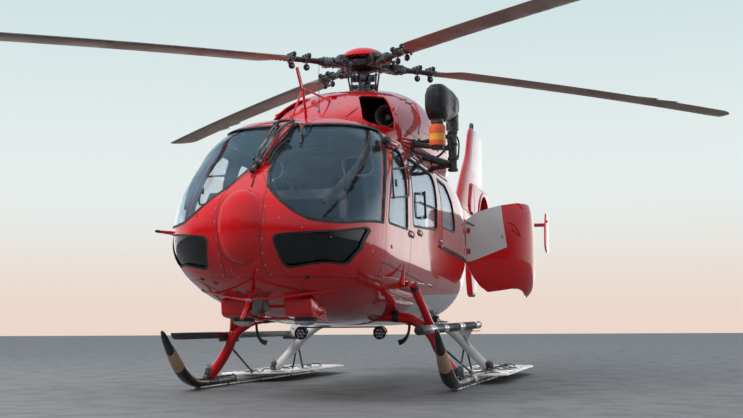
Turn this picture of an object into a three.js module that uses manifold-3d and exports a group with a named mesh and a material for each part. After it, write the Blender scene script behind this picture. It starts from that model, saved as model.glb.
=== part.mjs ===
// Twin-engine light rescue helicopter: four-blade rotor, shrouded tail fan, rear clamshell
// doors, skids with ski plates and a swivelling hoist on the port side.
// Millimetres. Here X points forward from the rotor mast, Y to port, Z up from the ground.
// The last lines move the whole machine so that its origin is under the middle of its length.

import * as THREE from 'three'
import { mergeVertices } from 'three/addons/utils/BufferGeometryUtils.js'
import Module from 'manifold-3d'

const wasm = await Module()
wasm.setup()

// Driving dimensions of the hull
const wall = 34
const glassDepth = 9
const glassThickness = 7
const floorTop = 930
const hullSides = 40
const cowlSides = 32
const boomSides = 24
const cowlWall = 16

// Gaps: between panels that meet, and round a door that opens
const seam = 0.4
const doorGap = 6

// Rotor
const bladeLength = 5500
const bladeRoot = 900
const bladeFullChordAt = 1150
const bladeChord = 325
const bladeThickness = 36
const bladeDroop = 150
const mastTilt = THREE.MathUtils.degToRad(2.08)
const hubHeight = 3305
const rotorPhase = THREE.MathUtils.degToRad(45.5)

// Tail fan and its duct
const fanX = -7400
const fanZ = 2170
const ductRadius = 575
const fanRadius = 560
const fanBlades = 10
const statorVanes = 8
const shroudHalf = 125

// Undercarriage
const skidY = 1200
const skidRadius = 42
const tubeRadius = 48
const frontTubeX = 1230
const rearTubeX = -600

// Clamshell hinge line, and how far the doors stand open
const clamHingeX = -1500
const clamHingeY = 806
const clamOpen = THREE.MathUtils.degToRad(81)

// Hoist swivel post
const postX = 640
const hoistY = 1060
const bumperX = 1400

// Hull stations: x, bottom, top, half width, height of the widest point, lower and upper roundness
const hullTable = [
  [3545, 1210, 1370, 150, 1285, 2.0, 2.0],
  [3520, 1118, 1450, 290, 1280, 2.0, 2.0],
  [3470, 1025, 1530, 400, 1270, 2.0, 2.1],
  [3380, 936, 1600, 520, 1260, 2.0, 2.2],
  [3250, 860, 1690, 640, 1250, 2.05, 2.4],
  [3080, 795, 1800, 735, 1240, 2.1, 2.6],
  [2880, 735, 1945, 810, 1240, 2.15, 2.8],
  [2660, 684, 2100, 850, 1250, 2.25, 3.0],
  [2440, 645, 2245, 866, 1270, 2.35, 3.3],
  [2150, 608, 2340, 868, 1300, 2.5, 3.6],
  [1700, 578, 2365, 868, 1330, 2.6, 3.8],
  [800, 570, 2365, 868, 1340, 2.8, 3.8],
  [-500, 570, 2350, 868, 1340, 2.8, 3.8],
  [-900, 578, 2340, 862, 1350, 2.8, 3.7],
  [-1200, 608, 2330, 845, 1370, 2.8, 3.5],
  [-1500, 662, 2315, 800, 1400, 2.7, 3.2],
  [-1800, 732, 2290, 710, 1430, 2.6, 2.9],
  [-2050, 808, 2230, 570, 1450, 2.5, 2.7],
  [-2200, 880, 2130, 430, 1460, 2.4, 2.5],
  [-2290, 985, 1990, 280, 1470, 2.2, 2.3],
  [-2330, 1150, 1790, 130, 1475, 2.0, 2.0],
]

// Engine cowling stations, same columns
const cowlTable = [
  [1780, 2100, 2395, 260, 2200, 2.0, 2.0],
  [1600, 2100, 2500, 470, 2250, 2.2, 2.4],
  [1300, 2100, 2650, 620, 2300, 2.4, 2.6],
  [900, 2100, 2825, 700, 2330, 2.4, 2.6],
  [450, 2100, 2945, 750, 2350, 2.4, 2.6],
  [0, 2100, 3020, 770, 2350, 2.4, 2.6],
  [-600, 2100, 3015, 765, 2350, 2.4, 2.6],
  [-1200, 2100, 2930, 690, 2350, 2.3, 2.5],
  [-1800, 2120, 2800, 530, 2360, 2.2, 2.3],
  [-2400, 2150, 2690, 380, 2370, 2.1, 2.1],
  [-2900, 2200, 2590, 285, 2380, 2.0, 2.0],
]

// Tail boom stations, same columns
const boomTable = [
  [-1560, 2060, 2620, 420, 2330, 2.2, 2.2],
  [-2100, 2050, 2610, 345, 2330, 2.1, 2.1],
  [-2900, 2030, 2550, 282, 2290, 2.0, 2.0],
  [-4200, 2000, 2470, 235, 2235, 2.0, 2.0],
  [-5600, 1975, 2390, 200, 2185, 2.0, 2.0],
  [-6700, 1960, 2350, 178, 2155, 2.0, 2.0],
]

// Outlines in side view, as x and z
const crewDoorOutline = [
  [2555, 955], [2555, 1390], [2498, 1560], [2415, 1725], [2282, 1900], [2140, 2050], [2040, 2130],
  [1980, 2160], [1625, 2160], [1668, 1460], [1680, 955],
]
const crewWindowOutline = [
  [2490, 1385], [2442, 1545], [2362, 1700], [2235, 1865], [2100, 2005], [2020, 2070], [1960, 2085],
  [1745, 2085], [1785, 1460], [1790, 1385],
]
const slidingDoorOutline = [
  [1674, 955], [1662, 1460], [1618, 2160], [330, 2160], [330, 955],
]
const slidingWindowOutline = [
  [1590, 1500], [1560, 1440], [1500, 1440], [520, 1490], [470, 1530], [400, 2060], [1545, 2085],
]
const quarterWindowOutline = [
  [240, 1545], [200, 2060], [-260, 2035], [-440, 1870], [-520, 1640], [-470, 1545],
]
const clamshellOutline = [
  [-1500, 1780], [-1500, 1260], [-1582, 1112], [-1660, 1009], [-1745, 945], [-1893, 965], [-2035, 988],
  [-2110, 988], [-2160, 965], [-2195, 915], [-2215, 800], [-2600, 800], [-2600, 2020], [-2120, 2020],
  [-1911, 1975], [-1769, 1932], [-1617, 1872],
]
const windshieldSide = [
  [2600, 1200], [2600, 1390], [2545, 1565], [2460, 1738], [2325, 1922], [2188, 2071], [2060, 2180],
  [1990, 2240], [1990, 2500], [3800, 2500], [3800, 1200],
]
const noseZoneBack = 2640
const noseZoneTop = 1742

// Outlines in front view, as y and z, on the port side
const windshieldFront = [
  [62, 2232], [58, 2000], [68, 1850], [95, 1740], [165, 1600], [290, 1480], [400, 1395], [495, 1345],
  [600, 1330], [700, 1333], [860, 1378], [1000, 1378], [1000, 2232],
]
const chinFront = [
  [248, 1224], [305, 990], [545, 1035], [680, 1030], [770, 1150], [812, 1295], [802, 1315], [670, 1273],
]

// Fin sections: height, leading edge, trailing edge, thickness
const finTable = [
  [2450, -5450, -8050, 200],
  [2700, -5690, -8050, 190],
  [2980, -6000, -8060, 165],
  [3350, -6440, -8110, 140],
  [3780, -6740, -8140, 125],
  [3850, -6830, -8120, 80],
]
const shroudOutline = [
  [-6450, 1975], [-6760, 1660], [-7080, 1500], [-7420, 1450], [-7760, 1510], [-8010, 1700], [-8120, 1980],
  [-8130, 2360], [-8080, 2640], [-7960, 2860], [-6300, 2860], [-6050, 2500], [-6100, 2340],
]
const bumperOutline = [
  [-6480, 1960], [-6470, 1350], [-6600, 1042], [-6940, 1042], [-7120, 1470], [-7100, 1560],
]
const endPlateOutline = [
  [-5830, 1760], [-5870, 2060], [-6020, 2290], [-6330, 2300], [-6390, 1700], [-6050, 1680],
]

const finishes = {
  redPaint: [0xc01f1c, 0.25, 0.1],
  whitePaint: [0xe4e2de, 0.35, 0.1],
  glass: [0x20262a, 0.08, 0.0],
  blackPlastic: [0x17181a, 0.55, 0.0],
  darkMetal: [0x3b3c3e, 0.45, 0.7],
  brightMetal: [0xb8bbbd, 0.3, 0.9],
  bladeSkin: [0x4b473b, 0.5, 0.0],
  seatCloth: [0x2b2f36, 0.9, 0.0],
  orangeRubber: [0xd9632a, 0.6, 0.0],
}

const sides = [
  { name: 'port', sign: 1 },
  { name: 'starboard', sign: -1 },
]

function solidOf(geometry) {
  const bare = geometry.clone()
  bare.deleteAttribute('normal')
  bare.deleteAttribute('uv')
  const merged = mergeVertices(bare, 1e-3)
  const vertProperties = new Float32Array(merged.attributes.position.array)
  const triVerts = new Uint32Array(merged.index.array)
  return new wasm.Manifold(new wasm.Mesh({ numProp: 3, vertProperties, triVerts }))
}

function geometryOf(solid) {
  const mesh = solid.getMesh()
  const geometry = new THREE.BufferGeometry()
  geometry.setAttribute('position', new THREE.BufferAttribute(new Float32Array(mesh.vertProperties), 3))
  geometry.setIndex(new THREE.BufferAttribute(new Uint32Array(mesh.triVerts), 1))
  return geometry
}

function union(solids) {
  return solids.reduce((whole, next) => whole.add(next))
}

function without(solid, cutters) {
  return cutters.reduce((left, cutter) => left.subtract(cutter), solid)
}

function box(x0, x1, y0, y1, z0, z1) {
  const geometry = new THREE.BoxGeometry(x1 - x0, y1 - y0, z1 - z0)
  geometry.translate((x0 + x1) / 2, (y0 + y1) / 2, (z0 + z1) / 2)
  return solidOf(geometry)
}

function ball(radius, x, y, z) {
  const geometry = new THREE.SphereGeometry(radius, 8, 6)
  geometry.translate(x, y, z)
  return solidOf(geometry)
}

function extruded(outline, depth) {
  const shape = new THREE.Shape(outline.map(([u, v]) => new THREE.Vector2(u, v)))
  return new THREE.ExtrudeGeometry(shape, { depth, bevelEnabled: false })
}

// A prism along Y from an outline in x and z
function prismY(outline, y0, y1) {
  const geometry = extruded(outline, y1 - y0)
  geometry.rotateX(Math.PI / 2)
  geometry.translate(0, y1, 0)
  return solidOf(geometry)
}

// A prism along X from an outline in y and z
function prismX(outline, x0, x1) {
  const geometry = extruded(outline, x1 - x0)
  const turn = new THREE.Matrix4()
  turn.makeBasis(new THREE.Vector3(0, 1, 0), new THREE.Vector3(0, 0, 1), new THREE.Vector3(1, 0, 0))
  geometry.applyMatrix4(turn)
  geometry.translate(x0, 0, 0)
  return solidOf(geometry)
}

function signedArea(outline) {
  return outline.reduce((sum, [u, v], i) => {
    const [p, q] = outline[(i + 1) % outline.length]
    return sum + (u * q - p * v) / 2
  }, 0)
}

// The outline moved inwards by a distance, or outwards by a negative one
function shrink(outline, distance) {
  const turn = Math.sign(signedArea(outline))
  const count = outline.length
  return outline.map((corner, i) => {
    const before = outline[(i + count - 1) % count]
    const after = outline[(i + 1) % count]
    const a = new THREE.Vector2(corner[0] - before[0], corner[1] - before[1]).normalize()
    const b = new THREE.Vector2(after[0] - corner[0], after[1] - corner[1]).normalize()
    const middle = new THREE.Vector2(-a.y - b.y, a.x + b.x).multiplyScalar(turn)
    const scale = (2 * distance) / middle.lengthSq()
    return [corner[0] + middle.x * scale, corner[1] + middle.y * scale]
  })
}

// A front-view outline for one side: as listed on port, mirrored on starboard
function forSide(outline, sign) {
  return sign > 0 ? outline : outline.map(([y, z]) => [-y, z]).reverse()
}

// One ring of a station: each half is a rounded box whose roundness is its exponent
function stationRing([x, bottom, top, half, widest, lower, upper], count) {
  const points = []
  for (let i = 0; i < count; i += 1) {
    const angle = (2 * Math.PI * i) / count
    const c = Math.cos(angle)
    const s = Math.sin(angle)
    const power = 2 / (s >= 0 ? upper : lower)
    const height = s >= 0 ? top - widest : widest - bottom
    const y = half * Math.sign(c) * Math.abs(c) ** power
    const z = widest + height * Math.sign(s) * Math.abs(s) ** power
    points.push([x, y, z])
  }
  return points
}

// An oval ring across the machine, at a station
function ovalRing(x, y, z, halfWidth, halfHeight, count) {
  const points = []
  for (let i = 0; i < count; i += 1) {
    const angle = (2 * Math.PI * i) / count
    points.push([x, y + halfWidth * Math.cos(angle), z + halfHeight * Math.sin(angle)])
  }
  return points
}

// A closed solid through rings of equal count, each listed anticlockwise seen from the first end
function loft(rings) {
  const count = rings[0].length
  const positions = rings.flat(2)
  const index = []
  for (let r = 0; r + 1 < rings.length; r += 1) {
    for (let i = 0; i < count; i += 1) {
      const a = r * count + i
      const b = r * count + ((i + 1) % count)
      index.push(a, a + count, b)
      index.push(b, a + count, b + count)
    }
  }
  const ends = [
    { points: rings[0], first: 0, flip: false },
    { points: rings[rings.length - 1], first: (rings.length - 1) * count, flip: true },
  ]
  for (const { points, first, flip } of ends) {
    const centre = [0, 1, 2].map((k) => points.reduce((sum, point) => sum + point[k], 0) / count)
    const middle = positions.length / 3
    positions.push(...centre)
    for (let i = 0; i < count; i += 1) {
      const a = first + i
      const b = first + ((i + 1) % count)
      index.push(middle, flip ? b : a, flip ? a : b)
    }
  }
  const geometry = new THREE.BufferGeometry()
  geometry.setAttribute('position', new THREE.Float32BufferAttribute(positions, 3))
  geometry.setIndex(index)
  return solidOf(geometry)
}

// The body through a station table, moved inwards all round by a distance
function bodyOf(table, inwards, count) {
  const front = table[0][0]
  const back = table[table.length - 1][0]
  const squeeze = (front - back - 2 * inwards) / (front - back)
  return loft(table.map(([x, bottom, top, half, widest, lower, upper]) => {
    const station = back + inwards + (x - back) * squeeze
    const size = [bottom + inwards, top - inwards, half - inwards]
    return stationRing([station, ...size, widest, lower, upper], count)
  }))
}

// A round tube through points
function tube(points, radius, { faces = 10, steps = 16 } = {}) {
  const path = new THREE.CatmullRomCurve3(points.map((p) => new THREE.Vector3(...p)), false, 'centripetal')
  const section = new THREE.Shape()
  for (let i = 0; i < faces; i += 1) {
    const angle = (2 * Math.PI * (i + 0.5)) / faces
    const x = radius * Math.cos(angle)
    const y = radius * Math.sin(angle)
    if (i === 0) section.moveTo(x, y)
    else section.lineTo(x, y)
  }
  return solidOf(new THREE.ExtrudeGeometry(section, { steps, extrudePath: path, bevelEnabled: false }))
}

function rod(from, to, radius, faces = 8) {
  return tube([from, to], radius, { faces, steps: 1 })
}

// A solid of revolution about Z from radius and height pairs
function turned(profile, segments = 24) {
  const geometry = new THREE.LatheGeometry(profile.map(([r, z]) => new THREE.Vector2(r, z)), segments)
  geometry.rotateX(Math.PI / 2)
  return solidOf(geometry)
}

function moved(solid, matrix) {
  const geometry = geometryOf(solid)
  geometry.applyMatrix4(matrix)
  return solidOf(geometry)
}

function translation(x, y, z) {
  return new THREE.Matrix4().makeTranslation(x, y, z)
}

function turnedAbout(x, y, angle) {
  const turn = new THREE.Matrix4().makeRotationZ(angle)
  return translation(x, y, 0).multiply(turn).multiply(translation(-x, -y, 0))
}

// The same solid on the starboard side
function opposite(solid) {
  const geometry = geometryOf(solid)
  geometry.scale(1, -1, 1)
  const index = geometry.index.array
  for (let i = 0; i < index.length; i += 3) {
    const first = index[i]
    index[i] = index[i + 1]
    index[i + 1] = first
  }
  return solidOf(geometry)
}

const helicopter = new THREE.Group()

function add(name, solid, finish) {
  const [color, roughness, metalness] = finishes[finish]
  const material = new THREE.MeshStandardMaterial({ color, roughness, metalness })
  const mesh = new THREE.Mesh(geometryOf(solid), material)
  mesh.name = name
  helicopter.add(mesh)
}

function addPair(name, portSolid, finish) {
  add(`${name}_port`, portSolid, finish)
  add(`${name}_starboard`, opposite(portSolid), finish)
}

const hull = bodyOf(hullTable, 0, hullSides)
const hullClear = bodyOf(hullTable, -seam, hullSides)
const cowlClear = bodyOf(cowlTable, -seam, cowlSides)
const boomClear = bodyOf(boomTable, -seam, boomSides)
const shroudClear = prismY(shrink(shroudOutline, -seam), -shroudHalf - seam, shroudHalf + seam)
const glassSkin = bodyOf(hullTable, glassDepth, hullSides)
  .subtract(bodyOf(hullTable, glassDepth + glassThickness, hullSides))
const wholeShell = hull.subtract(bodyOf(hullTable, wall, hullSides))
const hullShell = wholeShell.intersect(box(-3000, 4000, -1500, 1500, floorTop + seam, 3000))

function sidePrism(outline, sign) {
  return sign > 0 ? prismY(outline, 300, 1400) : prismY(outline, -1400, -300)
}

function windshieldPrism(sign, inwards) {
  const across = prismY(shrink(windshieldSide, inwards), -1400, 1400)
  return prismX(forSide(shrink(windshieldFront, inwards), sign), 1800, 3900).intersect(across)
}

function chinPrism(sign, inwards) {
  return prismX(forSide(shrink(chinFront, inwards), sign), 2500, 3900)
}

// The nose bulge over the forward-looking antenna
const radomeHeight = 1296
const radomeHalfWidth = 205
const radomeHalfHeight = 275
const radomeRings = [
  [3400, 0.96], [3450, 1], [3488, 0.97], [3516, 0.9], [3546, 0.78], [3573, 0.6], [3591, 0.4], [3601, 0.2],
  [3603, 0.06],
].reverse().map(([x, share]) => (
  ovalRing(x, 0, radomeHeight, share * radomeHalfWidth, share * radomeHalfHeight, 24)
))

function hullPanels() {
  const noseZone = box(noseZoneBack, 4000, -1400, 1400, 0, noseZoneTop)
  const noseZoneClear = box(noseZoneBack - seam, 4000, -1400, 1400, 0, noseZoneTop + seam)
  const clamshells = prismY(clamshellOutline, -1400, 1400)
  let frame = hullShell.subtract(noseZoneClear).subtract(clamshells)
  let nose = hullShell.intersect(noseZone)
  for (const { sign } of sides) {
    const openings = [crewDoorOutline, slidingDoorOutline, quarterWindowOutline]
    frame = without(frame, openings.map((outline) => sidePrism(outline, sign)))
    frame = frame.subtract(windshieldPrism(sign, 0))
    nose = without(nose, [windshieldPrism(sign, 0), chinPrism(sign, 0)])
  }
  const channelTop = 712
  const channels = [frontTubeX, rearTubeX].map((x) => box(x - 60, x + 60, -1500, 1500, 0, channelTop))
  const underFloor = box(-3000, 4000, -1500, 1500, 0, floorTop)
  add('cabin_tub', without(hull.intersect(underFloor), [...channels, clamshells]), 'redPaint')
  add('cabin_frame', frame, 'redPaint')
  add('nose_shell', nose, 'redPaint')
  add('nose_radome', loft(radomeRings).subtract(hullClear), 'redPaint')
}

function doorsAndGlass() {
  for (const { name, sign } of sides) {
    const crewDoor = hullShell.intersect(sidePrism(shrink(crewDoorOutline, doorGap), sign))
    const slidingDoor = hullShell.intersect(sidePrism(shrink(slidingDoorOutline, seam), sign))
    const pane = (outline) => glassSkin.intersect(sidePrism(shrink(outline, 1), sign))
    add(`windshield_${name}`, glassSkin.intersect(windshieldPrism(sign, 1)), 'glass')
    add(`chin_window_${name}`, glassSkin.intersect(chinPrism(sign, 1)), 'glass')
    add(`quarter_window_${name}`, pane(quarterWindowOutline), 'glass')
    add(`crew_door_${name}`, crewDoor.subtract(sidePrism(crewWindowOutline, sign)), 'redPaint')
    add(`crew_door_glass_${name}`, pane(crewWindowOutline), 'glass')
    add(`sliding_door_${name}`, slidingDoor.subtract(sidePrism(slidingWindowOutline, sign)), 'redPaint')
    add(`sliding_door_glass_${name}`, pane(slidingWindowOutline), 'glass')
  }
  const clamshell = wholeShell.intersect(prismY(shrink(clamshellOutline, doorGap), doorGap / 2, 1400))
  addPair('clamshell', moved(clamshell, turnedAbout(clamHingeX, clamHingeY, -clamOpen)), 'redPaint')
}

// Front view of the intake mouth, as y and z
const intakeMouth = [
  [403, 2424], [476, 2376], [570, 2370], [631, 2371], [619, 2472], [564, 2603], [516, 2680], [456, 2751],
  [350, 2757], [225, 2752], [290, 2651], [358, 2535],
]
const intakeBack = 820

function engineBay() {
  const mastHole = turned([[0, 2700], [225, 2700], [225, 3100], [0, 3100]])
  const mouths = sides.map(({ sign }) => prismX(forSide(intakeMouth, sign), intakeBack, 2000))
  const shell = bodyOf(cowlTable, 0, cowlSides).subtract(bodyOf(cowlTable, cowlWall, cowlSides))
  const exhaustY = 330
  const exhaustZ = 2620
  const pipeHoles = sides.map(({ sign }) => (
    rod([-1000, sign * exhaustY, exhaustZ], [-2700, sign * exhaustY * 1.25, exhaustZ + 30], 126, 20)
  ))
  add('engine_cowling', without(shell, [hullClear, mastHole, ...mouths, ...pipeHoles]), 'redPaint')
  const inletRing = 115
  const inletY = 440
  const inletZ = 2595
  const engine = union([
    box(-1250, -350, 120, 480, 2400, 2700),
    rod([-360, inletY, inletZ], [820, inletY, inletZ], inletRing, 20),
    rod([-1240, exhaustY * 0.95, exhaustZ], [-2150, exhaustY * 1.22, exhaustZ + 20], 118, 20),
  ])
  const inletBore = rod([300, inletY, inletZ], [900, inletY, inletZ], inletRing - 18, 20)
  const exhaustBore = rod([-1500, exhaustY, exhaustZ + 4], [-2300, exhaustY * 1.24, exhaustZ + 22], 104, 20)
  addPair('engine', without(engine, [inletBore, exhaustBore]), 'darkMetal')
  add('main_gearbox', box(-240, 240, -230, 230, 2375, 2660), 'darkMetal')
}

function wingSection(lead, trail, thickness) {
  const chord = trail - lead
  const upperHalf = [[0, 0], [0.03, 0.24], [0.12, 0.42], [0.3, 0.5], [0.65, 0.36], [1, 0.06]]
  const lowerHalf = upperHalf.slice(1).reverse().map(([along, out]) => [along, -out])
  return [...upperHalf, ...lowerHalf].map(([along, out]) => [lead + chord * along, thickness * out])
}

// A part made about Z, turned so that its axis lies along the fan's
function alongFanAxis(solid) {
  return moved(solid, translation(fanX, 0, fanZ).multiply(new THREE.Matrix4().makeRotationX(-Math.PI / 2)))
}

function tail() {
  const boom = without(bodyOf(boomTable, 0, boomSides), [hullClear, cowlClear, shroudClear])
  add('tail_boom', boom.intersect(box(-6300, 0, -600, 600, 1500, 3000)), 'redPaint')

  const finRings = finTable.map(([z, lead, trail, thickness]) => (
    wingSection(lead, trail, thickness).map(([x, y]) => [x, y, z]).reverse()
  ))
  const lipRadius = 80
  const lip = turned([
    [ductRadius - 30, -shroudHalf - 22], [ductRadius + lipRadius, -shroudHalf + 10],
    [ductRadius + lipRadius, shroudHalf - 10], [ductRadius - 30, shroudHalf + 22],
    [ductRadius - 30, -shroudHalf - 22],
  ], 48)
  const bore = turned([[0, -400], [ductRadius, -400], [ductRadius, 400], [0, 400]], 48)
  const fin = union([
    prismY(shroudOutline, -shroudHalf, shroudHalf),
    loft(finRings).subtract(boomClear),
    alongFanAxis(lip),
    prismY(bumperOutline, -50, 50),
    rod([-7020, 0, 3800], [-7020, 0, 3965], 38, 12),
  ])
  add('tail_fin', without(fin, [alongFanAxis(bore)]), 'redPaint')

  const vaneReach = ductRadius * Math.cos(Math.PI / 48) - seam
  const stator = [turned([[0, -135], [80, -135], [125, -70], [125, -24], [0, -24]], 20)]
  for (let i = 0; i < statorVanes; i += 1) {
    const turn = new THREE.Matrix4().makeRotationZ((2 * Math.PI * i) / statorVanes + 0.2)
    stator.push(moved(box(110, vaneReach, -7, 7, -110, -34), turn))
  }
  add('duct_stator', alongFanAxis(union(stator)), 'darkMetal')

  const fan = [turned([[0, -14], [140, -14], [140, 60], [90, 105], [0, 118]], 20)]
  const bladePitch = 0.5
  for (let i = 0; i < fanBlades; i += 1) {
    const turn = new THREE.Matrix4().makeRotationZ((2 * Math.PI * i) / fanBlades)
    turn.multiply(translation(0, 0, 28)).multiply(new THREE.Matrix4().makeRotationX(bladePitch))
    fan.push(moved(box(120, fanRadius, -45, 45, -6, 6), turn))
  }
  add('tail_fan', alongFanAxis(union(fan)), 'darkMetal')

  const span = 1300
  const stabiliserRings = [0, span].map((y) => (
    wingSection(-5900, -6320, 56).map(([x, z]) => [x, y, 2110 + z])
  ))
  const wing = union([loft(stabiliserRings), prismY(endPlateOutline, span - 14, span + 14)])
  const middle = box(-7000, -5000, -100, 100, 1000, 3000)
  addPair('stabiliser', without(wing, [boomClear, shroudClear, middle]), 'redPaint')
}

const skidHeight = 54
const skidBackX = -1900
const skidStraightTo = 1350
// The flattened, upturned toe of a skid: x, height, half width, half height
const toeTable = [
  [2262, 522, 14, 18], [2225, 484, 26, 38], [2120, 385, 40, 52], [2000, 280, 52, 58], [1850, 172, 62, 56],
  [1700, 102, 66, 50], [1550, 66, 58, 44], [skidStraightTo - 20, skidHeight, 41, 41],
]
// A ski plate from above, as x and y
const skiOutline = [
  [-2300, 1000], [-2300, 1400], [-2080, 1500], [220, 1500], [430, 1380], [450, 1260], [300, 1060],
  [120, 890], [-120, 820], [-2080, 820],
]
const stepFrontX = 2300
const stepBackX = -740
const stepY = 1062

function undercarriage() {
  for (const { name, sign } of sides) {
    const toe = toeTable.map(([x, z, out, up]) => ovalRing(x, sign * skidY, z, out, up, 14))
    const run = [skidBackX, skidStraightTo].map((x) => [x, sign * skidY, skidHeight])
    const plate = skiOutline.map(([x, y]) => new THREE.Vector2(x, sign * y))
    const skiPlate = new THREE.ExtrudeGeometry(new THREE.Shape(plate), { depth: 14, bevelEnabled: false })
    skiPlate.translate(0, 0, 78)
    const shoe = box(-1850, 1500, sign * skidY - 32, sign * skidY + 32, 0, 24)
    const skid = union([rod(...run, skidRadius, 14), loft(toe), solidOf(skiPlate), shoe])
    add(`skid_${name}`, skid, 'blackPlastic')
  }
  const barOutline = [[stepBackX, 460], [2210, 460], [2265, 478], [stepFrontX, 520], [stepBackX, 520]]
  const steps = {
    1: (grown) => rod([stepBackX, stepY, 572], [stepFrontX, stepY, 528], 40 + grown, 12),
    [-1]: (grown) => prismY(shrink(barOutline, -grown), -1110 - grown, -1012 + grown),
  }
  const skidTop = skidHeight + skidRadius + seam
  const legs = [
    {
      name: 'front_cross_tube', x: frontTubeX, finish: 'redPaint', strutted: true,
      half: [[0, 660], [650, 645], [855, 575], [955, 475], [1012, 360], [1095, 225], [skidY, skidTop]],
    },
    {
      name: 'rear_cross_tube', x: rearTubeX, finish: 'whitePaint', strutted: false,
      half: [[0, 640], [560, 615], [795, 505], [990, 310], [1100, 195], [skidY, skidTop]],
    },
  ]
  for (const { name, x, finish, half, strutted } of legs) {
    const starboardHalf = half.slice(1).reverse().map(([y, z]) => [x, -y, z])
    const course = [...starboardHalf, ...half.map(([y, z]) => [x, y, z])]
    const pieces = [tube(course, tubeRadius, { steps: 22 })]
    for (const { sign } of sides) {
      const gusset = [[640, 590], [690, 592], [990, 585], [1000, 530], [945, 340], [860, 420]]
      const brace = strutted
        ? rod([x - 15, sign * 966, 500], [x + 260, sign * 830, 955], 40, 8).subtract(hullClear)
        : prismX(forSide(gusset, sign), x - 6, x + 6)
      const footTop = [x, sign * (skidY - 18), skidTop + 96]
      const foot = rod([x, sign * skidY, skidHeight], footTop, tubeRadius + 7, 10)
      pieces.push(brace, foot)
    }
    pieces.push(box(x - 25, x + 25, 900, 1110, 500, 608))
    pieces.push(box(x - 25, x + 25, -1105, -900, 428, 470))
    const underSaddle = box(x - 100, x + 100, -1500, 1500, 0, skidTop)
    add(name, without(union(pieces), [underSaddle, steps[1](seam), steps[-1](seam)]), finish)
  }
  add('boarding_step_port', steps[1](0), 'brightMetal')
  add('boarding_step_starboard', steps[-1](0), 'blackPlastic')
}

function rotor() {
  const hubPlace = translation(0, 0, hubHeight).multiply(new THREE.Matrix4().makeRotationY(mastTilt))
  const mast = [
    turned([[0, -640], [62, -640], [62, -66], [0, -66]], 20),
    turned([[0, -385], [182, -385], [192, -365], [182, -335], [0, -335]], 20),
    turned([[0, -290], [118, -290], [118, -262], [0, -262]], 20),
  ]
  const hub = [turned([[0, -65], [150, -65], [190, -20], [190, 45], [150, 76], [0, 76]], 20)]
  for (let i = 0; i < 4; i += 1) {
    const turn = new THREE.Matrix4().makeRotationZ(rotorPhase + (Math.PI / 2) * i)
    const cuff = union([
      box(120, 500, -62, 62, -40, 40),
      rod([480, 0, 0], [bladeRoot - 1, 0, -3], 34, 8),
      rod([820, -70, 26], [820, 70, 26], 40, 10),
      rod([680, 0, 10], [680, 0, -60], 12, 6),
      rod([850, 0, 10], [850, 0, -60], 12, 6),
      ball(36, 680, 0, -76),
      ball(38, 850, 0, -72),
    ])
    hub.push(moved(cuff, turn))
    mast.push(moved(rod([165, 50, -360], [205, 80, -42], 11, 6), turn))
    hub.push(moved(box(170, 240, 40, 110, -30, 10), turn))
  }
  const wholeHub = union(hub)
  add('rotor_mast', moved(union(mast).subtract(wholeHub), hubPlace), 'darkMetal')
  add('rotor_hub', moved(wholeHub, hubPlace), 'darkMetal')
  const cap = turned([[0, 77], [226, 82], [226, 96], [190, 140], [120, 175], [0, 190]], 28)
  add('hub_cap', moved(cap, hubPlace), 'redPaint')

  for (let i = 0; i < 4; i += 1) {
    const radii = [bladeRoot, bladeFullChordAt, 2000, 3000, 4000, 4800, 5300, bladeLength]
    const rings = radii.map((r) => {
      const chord = r < bladeFullChordAt ? 130 : bladeChord * (r > 5400 ? 0.62 : 1)
      const thickness = r < bladeFullChordAt ? 50 : bladeThickness * (r > 5400 ? 0.5 : 1)
      const lead = r < bladeFullChordAt ? 65 : bladeChord * 0.3
      const drop = -bladeDroop * (r / bladeLength) ** 2
      const section = wingSection(lead, lead - chord, thickness)
      return section.map(([along, up]) => [r, along, up + drop]).reverse()
    })
    const turn = new THREE.Matrix4().makeRotationZ(rotorPhase + (Math.PI / 2) * i)
    add(`rotor_blade_${i + 1}`, moved(loft(rings), hubPlace.clone().multiply(turn)), 'bladeSkin')
  }
}

function hoist() {
  const bracket = union([
    rod([postX, hoistY, 2050], [postX, hoistY, 2440], 42, 12),
    rod([postX, hoistY, 2090], [postX, 750, 2200], 24),
    rod([postX, hoistY, 2270], [800, 685, 2302], 26),
    rod([postX, hoistY, 2400], [postX, 690, 2330], 22),
    rod([postX, hoistY, 2110], [300, 750, 2125], 22),
    rod([postX, hoistY, 2120], [postX + 420, 750, 2200], 18),
  ])
  add('hoist_bracket', bracket.subtract(hullClear).subtract(cowlClear), 'blackPlastic')

  // Fairing stations: x, centre height, half height, half width
  const fairing = [
    [1530, 2570, 40, 30], [1515, 2570, 100, 66], [1470, 2570, 150, 97], [1380, 2571, 179, 110],
    [1200, 2592, 168, 110], [950, 2635, 138, 104], [740, 2662, 104, 88], [640, 2668, 80, 62],
    [600, 2668, 34, 26],
  ]
  const roundness = 2.7
  const rings = fairing.map(([x, z, up, out]) => (
    stationRing([x, z - up, z + up, out, z, roundness, roundness], 20)
  ))
  const capsule = moved(loft(rings), translation(0, hoistY, 0))
  const pivot = rod([postX, hoistY, 2447], [postX, hoistY, 2640], 62, 16)
  const drum = rod([bumperX, hoistY, 2373], [bumperX, hoistY, 2450], 58, 16)
  add('hoist_boom', union([capsule, pivot, drum]), 'blackPlastic')
  const bumper = turned([
    [0, 2140], [52, 2140], [57, 2150], [57, 2172], [72, 2178], [74, 2210], [74, 2350], [66, 2366],
    [46, 2372], [0, 2372],
  ], 20)
  add('hoist_hook', moved(bumper, translation(bumperX, hoistY, 0)), 'orangeRubber')
}

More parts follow.
